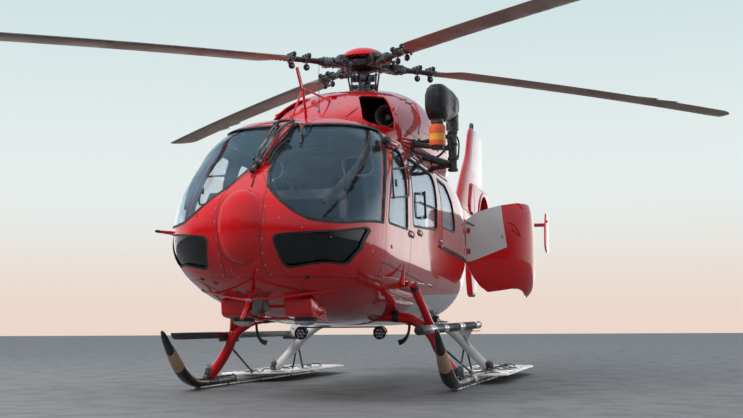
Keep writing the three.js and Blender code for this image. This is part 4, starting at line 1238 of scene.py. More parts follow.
def rotor_hub():
    hub = Part("rotor_hub_detail", "main_rotor", "dark_metal", "grey_metal", "steel", "black",
               "black_paint", slot="dark_metal", replaces=("rotor_hub",))
    hub.matrix = HUB_PLACE
    hub.turned([(0, -0.064), (0.12, -0.064), (0.15, -0.05), (0.185, -0.02), (0.19, 0.0), (0.188, 0.04),
                (0.16, 0.058), (0.15, 0.074), (0, 0.074)], finish=0, segments=48)
    for k, a in enumerate(all_round(16)):
        spot = (0.135 * math.cos(a), 0.135 * math.sin(a))
        hub.rod((*spot, 0.06), (*spot, 0.084 if k % 2 else 0.08), 0.008, 2, segments=6)
    for i in range(4):
        hub.matrix = blade_turn(i)
        # Forked arm with its through bolts
        hub.box((0.13, -0.06, 0.012), (0.4, 0.06, 0.04), 0, 0.01)
        hub.box((0.13, -0.06, -0.04), (0.4, 0.06, -0.012), 0, 0.01)
        hub.box((0.15, -0.045, -0.02), (0.42, 0.045, 0.02), 3, 0.008)
        hub.box((0.38, -0.052, -0.034), (0.5, 0.052, 0.034), 1, 0.012)
        hub.rod((0.47, 0, 0), (0.54, 0, 0), 0.05, 0, end_radius=0.036, segments=20)
        for x in (0.24, 0.35):
            for y in (-0.035, 0.035):
                hub.rod((x, y, -0.052), (x, y, 0.054), 0.011, 2, segments=6)
                hub.rod((x, y, 0.04), (x, y, 0.046), 0.018, 1, segments=12)
        for x in (0.41, 0.445, 0.48):
            hub.turned([(0, -0.003), (0.056, -0.003), (0.058, 0), (0.056, 0.003), (0, 0.003)], (x, 0, 0),
                       (1, 0, 0), 2, 24)
        # Slim neck to the blade, and its end fitting
        hub.tube([(0.5, 0, 0), (0.66, 0, -0.001), (0.8, 0, -0.002), (0.899, 0, -0.003)],
                 [0.034, 0.027, 0.029, 0.034], 4, 16)
        hub.box((0.83, -0.07, -0.022), (0.898, 0.07, 0.016), 0, 0.01)
        for y in (-0.045, 0.045):
            hub.rod((0.86, y, -0.045), (0.86, y, 0.04), 0.014, 2, segments=12)
            hub.rod((0.86, y, 0.018), (0.86, y, 0.032), 0.022, 1, segments=6)
        # Pendulum absorbers: lobed clamps with two hanging weights
        for x, drop in ((0.68, 0.076), (0.85, 0.072)):
            hub.rod((x, -0.055, 0.006), (x, 0.055, 0.006), 0.022, 1, segments=16)
            for y in (-0.058, 0.0, 0.058):
                hub.rod((x - 0.016, y, 0.036), (x + 0.016, y, 0.036), 0.027, 3, segments=16)
                hub.rod((x - 0.02, y, 0.036), (x + 0.02, y, 0.036), 0.009, 2, segments=8)
            hub.box((x - 0.012, -0.07, -0.012), (x + 0.012, 0.07, 0.04), 3, 0.008)
            hub.box((x - 0.03, -0.032, -0.03), (x + 0.03, 0.032, 0.032), 0, 0.01)
            hub.rod((x, 0, 0.0), (x, 0, -drop + 0.02), 0.008, 2)
            hub.ball((x, 0, -drop), 0.035, 3, (1, 0.75, 1), 20)
            hub.turned([(0, -0.027), (0.012, -0.027), (0.016, -0.02), (0.016, 0.02), (0.012, 0.027),
                        (0, 0.027)],
                       (x, 0, -drop), (0, 1, 0), 2, 16)
        # Pitch horn and its rod end
        hub.box((0.172, 0.045, -0.028), (0.238, 0.108, -0.002), 1, 0.008)
        hub.rod((0.205, 0.08, -0.038), (0.205, 0.08, 0.012), 0.013, 2, segments=12)
        hub.box((0.3, 0.055, -0.012), (0.38, 0.092, 0.022), 1, 0.006)
        hub.box((0.17, -0.052, 0.044), (0.3, 0.03, 0.092), 1, 0.008)
        hub.box((0.19, -0.04, 0.09), (0.28, 0.018, 0.098), 2, 0.003)
        hub.rod((0.33, -0.075, -0.03), (0.33, -0.075, 0.075), 0.017, 3, segments=16)
        hub.box((0.4, -0.075, -0.05), (0.47, 0.075, -0.02), 3, 0.01)
        # Small hoses and wires along the arm
        hub.tube([(0.16, -0.07, 0.03), (0.26, -0.085, 0.05), (0.38, -0.07, 0.03), (0.47, -0.05, 0.02)], 0.005,
                 3, 8)
        hub.tube([(0.2, 0.075, 0.03), (0.3, 0.1, -0.02), (0.42, 0.07, -0.04), (0.5, 0.04, -0.03)], 0.0045, 3,
                 8)
    hub.done()

    cap = Part("hub_cap_dome", "main_rotor", "red", "black", "steel", slot="red_paint",
               replaces=("hub_cap",))
    cap.matrix = HUB_PLACE
    cap.turned([(0, 0.084), (0.2, 0.084), (0.222, 0.083), (0.226, 0.088), (0.224, 0.098), (0.212, 0.117),
                (0.19, 0.138), (0.155, 0.158), (0.11, 0.175), (0.06, 0.186), (0.0, 0.19)], finish=0,
                segments=72)
    for a in all_round(12):
        cap.turned([(0, 0), (0.006, 0), (0.006, 0.002), (0.004, 0.003), (0, 0.003)],
                   (0.205 * math.cos(a), 0.205 * math.sin(a), 0.1225), (math.cos(a), math.sin(a), 1.2), 2, 10)
    cap.done(40)


def blade_section(r):
    """Leading edge, chord, thickness and droop of the blade at a radius."""
    lead, chord, thickness = BLADE_CHORD * 0.3, BLADE_CHORD, BLADE_THICKNESS
    if r < BLADE_SHOULDER:
        t = max(0.0, (r - BLADE_ROOT) / (BLADE_SHOULDER - BLADE_ROOT))
        t = t * t * (3 - 2 * t)
        chord = 0.13 + (chord - 0.13) * t
        lead = 0.065 + (0.0975 - 0.065) * t
        thickness = 0.05 + (thickness - 0.05) * t
    if r > TIP_TAPER:
        t = (r - TIP_TAPER) / (ROTOR_RADIUS - TIP_TAPER)
        chord *= 1 - 0.4 * t * t
        thickness *= 1 - 0.5 * t
    return lead, chord, thickness, -BLADE_DROOP * (r / ROTOR_RADIUS) ** 2


def rotor_blades():
    upper = ((0.0, 0.0), (0.012, 0.16), (0.05, 0.32), (0.12, 0.44), (0.25, 0.5), (0.4, 0.49), (0.6, 0.38),
             (0.8, 0.22), (0.97, 0.07), (1.0, 0.035))
    section = both_faces(upper)
    radii = [0.901, 0.95, 1.0, 1.05, 1.1, 1.15, 1.3, 1.6, 2.0, 2.5, 3.0, 3.5, 4.0, 4.5, 5.0, 5.25, 5.35, 5.42,
             5.47, 5.499]
    for i in range(4):
        blade = Part(f"rotor_blade_{i + 1}_skin", "main_rotor", "blade", "blade_edge", "steel",
                     slot="blade_skin", replaces=(f"rotor_blade_{i + 1}",))
        blade.matrix = blade_turn(i)
        rings = []
        for r in radii:
            lead, chord, thickness, drop = blade_section(r)
            rings.append([Vector((r, lead - chord * a, drop + thickness * b)) for a, b in section])
        blade.take(loft(rings))
        # Leading edge strip faces
        back = blade.matrix.inverted()
        blade.bm.faces.ensure_lookup_table()
        for face in blade.bm.faces:
            middle = back @ face.calc_center_median()
            lead, chord, _, _ = blade_section(middle.x)
            if 1.3 < middle.x < 5.45 and middle.y > lead - 0.045:
                face.material_index = 1
        # Trim tabs on the trailing edge
        for r in (3.9, 4.25):
            lead, chord, _, drop = blade_section(r)
            blade.box((r - 0.16, lead - chord - 0.03, drop - 0.0015),
                      (r + 0.16, lead - chord + 0.02, drop + 0.0015), 2, 0.0005)
        drop = blade_section(1.0)[3]
        for x in (0.935, 0.975, 1.02):
            blade.rod((x, -0.005, drop - 0.03), (x, -0.005, drop + 0.03), 0.012, 2, segments=6)
        blade.done(50)


rotor_mast()
rotor_hub()
rotor_blades()


# Rear clamshell doors: drawn closed, painted, then swung open
PALE_BLOCK = [(-1.4, 1.295), (-1.493, 1.295), (-1.573, 1.307), (-1.666, 1.342), (-1.841, 1.414),
              (-1.983, 1.476), (-1.942, 1.77), (-1.911, 2.1), (-1.4, 2.1)]
SCOOP = [(-1.953, 1.77), (-2.025, 1.773), (-2.095, 1.717), (-2.141, 1.637), (-2.152, 1.578), (-2.117, 1.611),
         (-2.057, 1.655), (-1.963, 1.664)]


def swung(sign):
    """The turn from closed to the photographed opening, about the hinge line."""
    hinge = Vector((CLAM_HINGE[0], sign * CLAM_HINGE[1], 0))
    turn = Matrix.Rotation(-sign * CLAM_OPEN, 4, "Z")
    return Matrix.Translation(hinge) @ turn @ Matrix.Translation(-hinge)


def clamshells():
    dent_band = combine(hull_outer, ("DIFFERENCE", body_loft(HULL, 0.007)))
    rim_band = combine(hull_inner, ("DIFFERENCE", body_loft(HULL, WALL + 0.012)))
    for side, sign in SIDES:
        def panel(outline, low=DOOR_GAP / 2):
            return prism(outline, "y", sign * low, sign * 1.4)

        edge = rounded(grown(CLAMSHELL, -DOOR_GAP), 0.04)
        door = combine(whole_shell, ("INTERSECT", panel(edge)))
        dent = combine(dent_band, ("INTERSECT", panel(rounded(SCOOP, 0.03))))
        pale = combine(door, ("INTERSECT", panel(PALE_BLOCK)))
        red = combine(door, ("DIFFERENCE", panel(PALE_BLOCK)), ("DIFFERENCE", dent))
        body = f"clamshell_{side}_body"
        for name, mesh, finish_name, stands in (("skin", red, "red", (f"clamshell_{side}",)),
                                                ("pale_panel", pale, "pale_red", ())):
            keep_smooth(mesh, (hull_guide, inner_guide))
            lined(mesh, 0.003)
            mesh.transform(swung(sign))
            place(f"clamshell_{side}_{name}", mesh, body, (finish_name, "lining"), stands, "red_paint")

        frame_ring = combine(rim_band, ("INTERSECT", panel(rounded(grown(CLAMSHELL, -0.045), 0.05), 0.04)),
                             ("DIFFERENCE", panel(rounded(grown(CLAMSHELL, -0.115), 0.05), 0.11)))
        trim = Part(f"clamshell_{side}_fittings", body, "lining", "steel", "black", "rubber", "red",
                    slot="red_paint")
        trim.matrix = swung(sign)
        trim.shape(frame_ring, 0)
        # Hinges on the front edge
        for z in (1.42, 1.66):
            y = sign * (CLAM_HINGE[1] - 0.012)
            trim.rod((-1.512, y, z - 0.04), (-1.512, y, z + 0.04), 0.009, 1, segments=16)
            trim.box((-1.56, y - 0.008, z - 0.03), (-1.512, y + 0.004, z + 0.03), 4, 0.004)
        # Handle bar at the top front, latch near the free edge, stiffeners across the inside
        start, end = on_side(-1.52, 1.757, sign), on_side(-1.6, 1.722, sign)
        out = Vector((0, sign * 0.012, 0))
        trim.tube([start, start + out, end + out, end], 0.006, 2, 10, 4)
        spot, out = on_side(-1.93, 1.6, sign, True)
        trim.turned([(0, 0), (0.022, 0), (0.022, 0.0016), (0.012, 0.003), (0, 0.003)], spot, out, 1, 24)
        for z in (1.25, 1.55, 1.82):
            line = []
            for x in np.linspace(-1.62, -2.02, 7):
                hit, normal, *_ = inner_guide[0].ray_cast(Vector((x, sign * 2.0, z)), Vector((0, -sign, 0)))
                line.append(hit - normal * 0.006)
            trim.tube(line, 0.011, 0, 8, 2)
        trim.done()


def met(origin, way, with_normal):
    """Where a ray meets the hull's skin, with the skin's normal there if it is asked for."""
    hit, normal, *_ = hull_guide[0].ray_cast(Vector(origin), Vector(way))
    return (hit, normal) if with_normal else hit


def on_side(x, z, sign, with_normal=False):
    """The hull's skin met from the side."""
    return met((x, sign * 2.0, z), (0, -sign, 0), with_normal)


def on_nose(y, z, with_normal=False):
    """The hull's skin met from the front."""
    return met((5.0, y, z), (-1, 0, 0), with_normal)


def on_belly(x, y):
    """The hull's skin and its normal met from below."""
    return met((x, y, 0.0), (0, 0, 1), True)


# Nose bulge, and the panel round it
RADOME_HEIGHT = 1.296
RADOME_HALF_WIDTH = 0.205
RADOME_HALF_HEIGHT = 0.275
RADOME = [(3.603, 0.0), (3.601, 0.2), (3.591, 0.4), (3.573, 0.6), (3.546, 0.78), (3.516, 0.9), (3.488, 0.97),
          (3.45, 1.0), (3.4, 0.96)]


def radome_ring(x, share):
    return [(x, share * RADOME_HALF_WIDTH * math.cos(a),
             RADOME_HEIGHT + share * RADOME_HALF_HEIGHT * math.sin(a))
            for a in all_round(72)]


def radome():
    rows = smooth_rows([(x, share, 0, 0) for x, share in RADOME], 30)
    bulge = mesh_of(loft([radome_ring(x, max(share, 0.02)) for x, share, *_ in rows]))
    guide = surface_guide(bulge)
    mesh = combine(bulge, ("DIFFERENCE", body_loft(HULL, -CLEAR)))
    keep_smooth(mesh, (guide,))
    place("nose_radome_skin", mesh, "airframe", ("red",), ("nose_radome",), "red_paint")

    trim = Part("nose_panel_trim", "airframe", "black", "steel", "red", "rubber", slot="black_plastic")
    half_width = [(0.05, 1.74), (0.15, 1.6), (0.17, 1.5), (0.176, 1.36), (0.158, 1.17), (0.155, 1.03),
                  (0.17, 0.93)]
    for _, sign in SIDES:
        line = [on_nose(sign * y, z) for y, z in half_width]
        path = smooth_path(line, 6)
        settled = [hull_guide[0].find_nearest(p)[0] for p in path]
        trim.tube(settled, 0.0024, 0, 6, 1)
        for spot in settled[3::4]:
            place_at, out, *_ = hull_guide[0].find_nearest(spot + Vector((0, sign * 0.017, 0)))
            trim.turned([(0, -0.001), (0.0065, -0.001), (0.0055, 0.0015), (0, 0.002)], place_at, out, 1, 10)
        # Second panel line, from the chin window down round the belly
        line = [on_nose(sign * y, z) for y, z in ((0.235, 1.2), (0.245, 1.1), (0.275, 1.0), (0.3, 0.93))]
        trim.tube([hull_guide[0].find_nearest(p)[0] for p in smooth_path(line, 5)], 0.0016, 0, 6, 1)
        # Vent, drain and screws low on the nose
        spot, out = on_nose(sign * 0.42, 0.93, True)
        trim.turned([(0, 0), (0.02, 0), (0.02, 0.003), (0.014, 0.004), (0.012, 0.001), (0, 0.001)], spot, out,
                    0, 20)
        for y, z in ((0.3, 1.35), (0.45, 1.28), (0.62, 1.22), (0.1, 0.98), (0.07, 0.93)):
            spot, out = on_nose(sign * y, z, True)
            trim.turned([(0, -0.001), (0.006, -0.001), (0.005, 0.0015), (0, 0.002)], spot, out, 1, 10)
    # Seam round the bulge's foot
    rim = [on_nose(1.012 * RADOME_HALF_WIDTH * math.cos(a),
                   RADOME_HEIGHT + 1.012 * RADOME_HALF_HEIGHT * math.sin(a)) for a in all_round(40)]
    trim.tube([*rim, rim[0]], 0.0016, 0, 6, 1)
    trim.done()


clamshells()
radome()


# Undercarriage
SKID_HEIGHT = 0.054
SKID_TOP = SKID_HEIGHT + 0.0424
SKID_RADIUS = 0.042
# The flattened, upturned toe of a skid: x, height, half width, half height
TOE = [(2.262, 0.522, 0.014, 0.018), (2.225, 0.484, 0.026, 0.038), (2.12, 0.385, 0.04, 0.052),
       (2, 0.28, 0.052, 0.058), (1.85, 0.172, 0.062, 0.056), (1.7, 0.102, 0.066, 0.05),
       (1.55, 0.066, 0.058, 0.044), (1.33, 0.054, 0.0415, 0.0415)]
SKI_PLATE = [(-2.3, 1), (-2.3, 1.4), (-2.08, 1.5), (0.22, 1.5), (0.43, 1.38), (0.45, 1.26), (0.3, 1.06),
             (0.12, 0.89), (-0.12, 0.82), (-2.08, 0.82)]
FRONT_LEG = [(0, 0.66), (0.65, 0.645), (0.855, 0.575), (0.955, 0.475), (1.012, 0.36), (1.095, 0.225),
             (1.2, SKID_TOP)]
REAR_LEG = [(0, 0.64), (0.56, 0.615), (0.795, 0.505), (0.99, 0.31), (1.1, 0.195), (1.2, SKID_TOP)]
STEP_Y = 1.062
TUBE_RADIUS = 0.0475


def toe_ring(row, y, swell=0.0):
    x, z, out, up = row[:4]
    return [(x, y + (out + swell) * math.cos(a), z + (up + swell) * math.sin(a))
            for a in all_round(28)]


def skids():
    for side, sign in SIDES:
        skid = Part(f"skid_{side}_detail", "airframe", "black_paint", "steel", "tan", "white", "black",
                    slot="black_plastic", replaces=(f"skid_{side}",))
        y = sign * SKID_Y
        skid.rod((-1.9, y, SKID_HEIGHT), (0.62, y, SKID_HEIGHT), SKID_RADIUS - 0.0005, 3, segments=28)
        skid.rod((0.6, y, SKID_HEIGHT), (1.36, y, SKID_HEIGHT), SKID_RADIUS - 0.0003, 0, segments=28)
        rows = smooth_rows([(*row, 0) for row in TOE], 30)
        skid.take(loft([toe_ring(row, y) for row in rows]), 0)
        skid.ball((-1.9, y, SKID_HEIGHT), 0.0415, 4, (0.5, 1, 1), 20)
        # Tan patch wrapped round the toe, and steel bands along the skid
        patch = [row for row in rows if 1.93 < row[0] < 2.13]
        skid.take(loft([toe_ring(row, y, 0.0012) for row in patch]), 2)
        for x in (1.05, 0.62, -0.2, -0.95, -1.6):
            skid.tube([(x - 0.012, y, SKID_HEIGHT), (x, y, SKID_HEIGHT), (x + 0.012, y, SKID_HEIGHT)], 0.0445,
                      1, 24, 2)
            skid.box((x - 0.01, y - 0.01, 0.095), (x + 0.01, y + 0.01, 0.106), 1, 0.002)
        # Black grip strip on the front run, up to the toe
        skid.box((0.66, y - 0.024, 0.0925), (1.12, y + 0.024, 0.0985), 4, 0.002)
        # Hard-wearing shoe under the skid
        for a, b in ((-1.85, -1.1), (-1.06, -0.1), (-0.06, 0.8), (0.84, 1.5)):
            skid.box((a, y - 0.032, 0.0005), (b, y + 0.032, 0.022), 1, 0.005)
            for x in np.linspace(a + 0.06, b - 0.06, 4):
                skid.turned([(0, 0), (0.009, 0), (0.007, 0.004), (0, 0.004)], (x, y + sign * 0.031, 0.012),
                            (0, sign, 0), 4, 8)
        # Ski plate for soft ground, with its ribs and U-bolts
        plate = [(u, sign * v) for u, v in rounded(SKI_PLATE, 0.08, 5)]
        skid.slab(plate, "z", 0.078, 0.0895, 3, 0.004)
        for x in (-2.1, -1.7, -1.3, -0.9, -0.4, 0.05):
            skid.box((x - 0.014, sign * 1.16 - 0.3, 0.0885), (x + 0.014, sign * 1.16 + 0.3, 0.0915), 3, 0.001)
            for way in (-1, 1):
                skid.turned([(0, -0.002), (0.011, -0.002), (0.011, 0.001), (0.006, 0.0065), (0, 0.0065)],
                            (x, y + way * 0.075, 0.091), (0, 0, 1), 4, 12)
                skid.turned([(0, -0.002), (0.008, -0.002), (0.006, 0.003), (0, 0.003)],
                            (x, y + way * 0.2 if way * sign > 0 else y - sign * 0.19, 0.091), (0, 0, 1), 1,
                            10)
            skid.tube([(x, y - 0.062, 0.08), (x, y - 0.055, 0.1), (x, y - 0.03, 0.107), (x, y + 0.03, 0.107),
                       (x, y + 0.055, 0.1), (x, y + 0.062, 0.08)], 0.006, 4, 10)
        for edge in (0.85, 1.47):
            skid.box((-2.0, sign * edge - 0.008, 0.088), (-0.15, sign * edge + 0.008, 0.0985), 3, 0.004)
        for x in (-1.5, -1.1, -0.15):
            skid.box((x - 0.06, y + sign * 0.12 - 0.045, 0.0885), (x + 0.06, y + sign * 0.12 + 0.045, 0.0945),
                     4, 0.004)
            skid.box((x - 0.09, y - sign * 0.2 - 0.05, 0.0885), (x + 0.09, y - sign * 0.2 + 0.05, 0.0935), 4,
                     0.004)
        skid.box((-1.86, y - 0.02, 0.085), (-1.8, y + 0.02, 0.11), 4, 0.006)
        skid.done()


def cross_tube(name, x, course, finish_name, braced):
    tube = Part(f"{name}_detail", "airframe", finish_name, "black_paint", "steel", "black",
                slot="red_paint" if braced else "white_paint", replaces=(name,))
    half = [(x, y, z) for y, z in course]
    tube.tube([(x, -y, z) for _, y, z in reversed(half[1:])] + half, TUBE_RADIUS, 0, 28, 8)
    for _, sign in SIDES:
        foot = Vector((x, sign * 1.184, 0.182))
        base = Vector((x, sign * SKID_Y, SKID_TOP + 0.001))
        tube.rod(base, foot, 0.0545, 1, end_radius=0.053, segments=28)
        tube.rod(foot, foot + Vector((0, -sign * 0.008, 0.01)), 0.0545, 2, segments=28)
        # Saddle plate on the skid and its bolts
        tube.box((x - 0.09, sign * SKID_Y - 0.03, SKID_TOP + 0.001),
                 (x + 0.09, sign * SKID_Y + 0.03, SKID_TOP + 0.014), 1, 0.005)
        for dx in (-0.07, 0.07):
            tube.rod((x + dx, sign * SKID_Y, SKID_TOP + 0.01), (x + dx, sign * SKID_Y, SKID_TOP + 0.024),
                     0.009, 2, segments=6)
        if braced:
            low = Vector((x - 0.015, sign * 0.966, 0.5))
            top = Vector((x + 0.255, sign * 0.833, 0.945))
            axis = (top - low).normalized()
            tube.rod(low, top - axis * 0.02, 0.0365, 0, segments=28)
            tube.rod(low - axis * 0.004, low + axis * 0.05, 0.0395, 0, segments=28)
            tube.rod(top - axis * 0.075, top - axis * 0.03, 0.0395, 3, segments=28)
            tube.rod(low + axis * 0.02 + Vector((-0.06, 0, 0)), low + axis * 0.02 + Vector((0.06, 0, 0)),
                     0.013, 2, segments=10)
            # Rubber-sleeved stay from the leg back to the skid
            tube.rod((x - 0.02, sign * 1.01, 0.4), (0.27, sign * 1.14, 0.115), 0.011, 3, segments=12)
            tube.rod((0.28, sign * 1.135, 0.118), (0.24, sign * 1.155, 0.103), 0.02, 2, segments=12)
            # Foot rest hooked under the leg
            tube.tube([(x - 0.03, sign * 0.74, 0.6), (x - 0.035, sign * 0.735, 0.53),
                       (x - 0.03, sign * 0.715, 0.47),
                       (x - 0.03, sign * 0.68, 0.43), (x - 0.03, sign * 0.64, 0.415)],
                      [0.012, 0.012, 0.014, 0.02, 0.026], 3, 14)
        else:
            outline = [(0.655, 0.598), (0.7, 0.592), (1.01, 0.585), (1.025, 0.53), (0.945, 0.345),
                       (0.865, 0.425), (0.79, 0.505)]
            tube.slab([(sign * y, z) for y, z in rounded(outline, 0.03)], "x", x - 0.0055, x + 0.0055, 0,
                      0.002)
            for y, z in ((0.76, 0.562), (0.9, 0.552), (0.98, 0.545), (0.93, 0.42)):
                for way in (-1, 1):
                    tube.turned([(0, 0), (0.01, 0), (0.008, 0.005), (0, 0.006)],
                                (x + way * 0.005, sign * y, z), (way, 0, 0), 2, 6)
            # Two short stays from the gusset down to the ski plate
            for low_y in (0.88, 1.0):
                tube.rod((x - 0.01, sign * 0.935, 0.395), (x - 0.03, sign * low_y, 0.103), 0.0095, 3,
                         segments=12)
        # Clamp where the leg meets the hull, with its rubber liner
        for y in (0.33, 0.62):
            tube.tube([(x, sign * (y - 0.03), 0.653 if braced else 0.63),
                       (x, sign * y, 0.65 if braced else 0.625),
                       (x, sign * (y + 0.03), 0.646 if braced else 0.62)], 0.0515, 3, 24, 2)
    # Hangers that carry the boarding steps
    tube.box((x - 0.022, 0.905, 0.52), (x + 0.022, 1.02, 0.54), 1, 0.004)
    tube.box((x - 0.022, 1.0175, 0.503), (x + 0.022, 1.022, 0.606), 1, 0.002)
    for z in (0.508, 0.602):
        tube.box((x - 0.022, 1.02, z - 0.004), (x + 0.022, 1.104, z + 0.004), 1, 0.002)
    tube.box((x - 0.024, -1.1, 0.43), (x + 0.024, -0.905, 0.4595), 1, 0.005)
    for y in (-1.08, -0.97):
        tube.rod((x, y, 0.429), (x, y, 0.434), 0.01, 2, segments=6)
    tube.tube([(x + 0.03, 0.93, 0.46), (x + 0.034, 1.02, 0.3), (x + 0.03, 1.1, 0.2)], 0.005, 3, 8)
    tube.done()


def steps():
    port = Part("boarding_step_port_detail", "airframe", "polished", "black", "steel", "rubber",
                slot="bright_metal", replaces=("boarding_step_port",))
    front, back = Vector((2.3, STEP_Y, 0.528)), Vector((-0.74, STEP_Y, 0.572))
    axis = (back - front).normalized()
    port.rod(front + axis * 0.01, back - axis * 0.01, 0.0375, 0, segments=40)
    port.rod(front, front + axis * 0.33, 0.0395, 1, segments=36)
    port.rod(back - axis * 0.05, back, 0.0395, 1, segments=36)
    for start, end in ((0.62, 0.98), (1.16, 1.8), (2.05, 2.75)):
        count = int((end - start) / 0.03)
        for k in range(count):
            spot = front + axis * (start + 0.03 * k)
            port.turned([(0.0375, -0.009), (0.0392, -0.007), (0.0392, 0.007), (0.0375, 0.009)], spot, axis, 3,
                        28)
    for at in (0.36, 0.56, 1.07, 1.93):
        spot = front + axis * at
        port.turned([(0.0375, -0.016), (0.0396, -0.014), (0.0396, 0.014), (0.0375, 0.016)], spot, axis, 2, 32)
    port.done()

    # The starboard step's black finish is painted shade: it stands for the step's shaded side, while the port
    # step shows lit polished metal
    board = Part("boarding_step_starboard_detail", "airframe", "black_paint", "rubber", "steel",
                 slot="black_plastic", replaces=("boarding_step_starboard",))
    outline = rounded([(-0.74, 0.4605), (2.21, 0.4605), (2.265, 0.4785), (2.3, 0.5195), (-0.74, 0.5195)],
                      0.02)
    board.slab(outline, "y", -1.1095, -1.0125, 0, 0.005)
    for start, end in ((-0.6, 0.3), (0.45, 1.1), (1.35, 2.1)):
        for k in range(int((end - start) / 0.028)):
            x = start + 0.028 * k
            board.box((x, -1.105, 0.518), (x + 0.016, -1.017, 0.5203), 1, 0.001)
    for x in (-0.68, 0.38, 1.22, 2.2):
        for y in (-1.085, -1.037):
            board.turned([(0, 0), (0.007, 0), (0.006, 0.0018), (0, 0.002)], (x, y, 0.5185), (0, 0, 1), 2, 8)
    board.done()


skids()
cross_tube("front_cross_tube", FRONT_TUBE_X, FRONT_LEG, "red", True)
cross_tube("rear_cross_tube", REAR_TUBE_X, REAR_LEG, "white", False)
steps()


# Rescue hoist, wire cutters and the lights under the belly
FAIRING = [(1.53, 2.57, 0.04, 0.03), (1.515, 2.57, 0.1, 0.066), (1.47, 2.57, 0.15, 0.097),
           (1.38, 2.571, 0.179, 0.11),
           (1.2, 2.592, 0.168, 0.11), (0.95, 2.635, 0.138, 0.104), (0.74, 2.662, 0.104, 0.088),
           (0.64, 2.668, 0.08, 0.062), (0.6, 2.668, 0.034, 0.026)]
BUMPER_X = 1.4


def hoist_bracket():
    arm = Part("hoist_bracket_detail", "airframe", "black_paint", "black", "steel", "rubber",
               slot="black_plastic", replaces=("hoist_bracket",))
    x, y = HOIST_X, HOIST_Y
    arm.rod((x, y, 2.05), (x, y, 2.4385), 0.041, 0, segments=28)
    for z in (2.06, 2.17, 2.31, 2.425):
        arm.turned([(0.04, -0.014), (0.05, -0.011), (0.05, 0.011), (0.04, 0.014)], (x, y, z), (0, 0, 1), 1,
                   32)
    feet = [((x, y, 2.09), (x, 0.76, 2.195), 0.0235), ((x, y, 2.27), (0.8, 0.715, 2.298), 0.0255),
            ((x, y, 2.4), (x, 0.735, 2.34), 0.0215), ((x, y, 2.11), (0.3, 0.775, 2.123), 0.0215),
            ((x, y, 2.12), (x + 0.42, 0.765, 2.197), 0.0175)]
    for start, end, radius in feet:
        arm.rod(start, end, radius, 0, segments=20)
        hit = min(hull_guide[0].find_nearest(Vector(end)), cowl_guide[0].find_nearest(Vector(end)),
                  key=lambda found: found[3])
        arm.turned([(0, -0.006), (radius * 2.2, -0.006), (radius * 2.2, 0.004), (radius * 1.5, 0.012),
                    (0, 0.012)],
                   hit[0], hit[1], 1, 24)
        side = hit[1].orthogonal().normalized()
        for k in range(4):
            spot = hit[0] + (Matrix.Rotation(math.pi / 2 * k, 3, hit[1]) @ side) * radius * 1.75
            arm.turned([(0, 0.003), (0.006, 0.003), (0.005, 0.008), (0, 0.008)], spot, hit[1], 2, 6)
    # Hydraulic and electric lines from the swivel down to the roof edge, and the drooping service loop
    arm.tube([(x + 0.02, y - 0.03, 2.42), (x + 0.1, y - 0.02, 2.3), (x + 0.13, y - 0.09, 2.2),
              (x + 0.06, 0.87, 2.16), (x - 0.03, 0.84, 2.13)], 0.011, 3, 10)
    arm.tube([(x - 0.03, y, 2.4), (x - 0.11, y + 0.005, 2.28), (x - 0.12, y - 0.04, 2.17),
              (x - 0.05, 0.9, 2.11), (x + 0.02, 0.85, 2.1)], 0.009, 3, 10)
    arm.tube([(x - 0.02, y + 0.03, 2.41), (x - 0.06, y + 0.05, 2.34), (x - 0.075, y + 0.045, 2.24),
              (x - 0.045, y + 0.04, 2.17), (x - 0.005, y + 0.042, 2.2)], 0.008, 3, 10)
    arm.box((x - 0.075, y - 0.06, 2.335), (x - 0.03, y + 0.03, 2.4), 1, 0.006)
    arm.done()


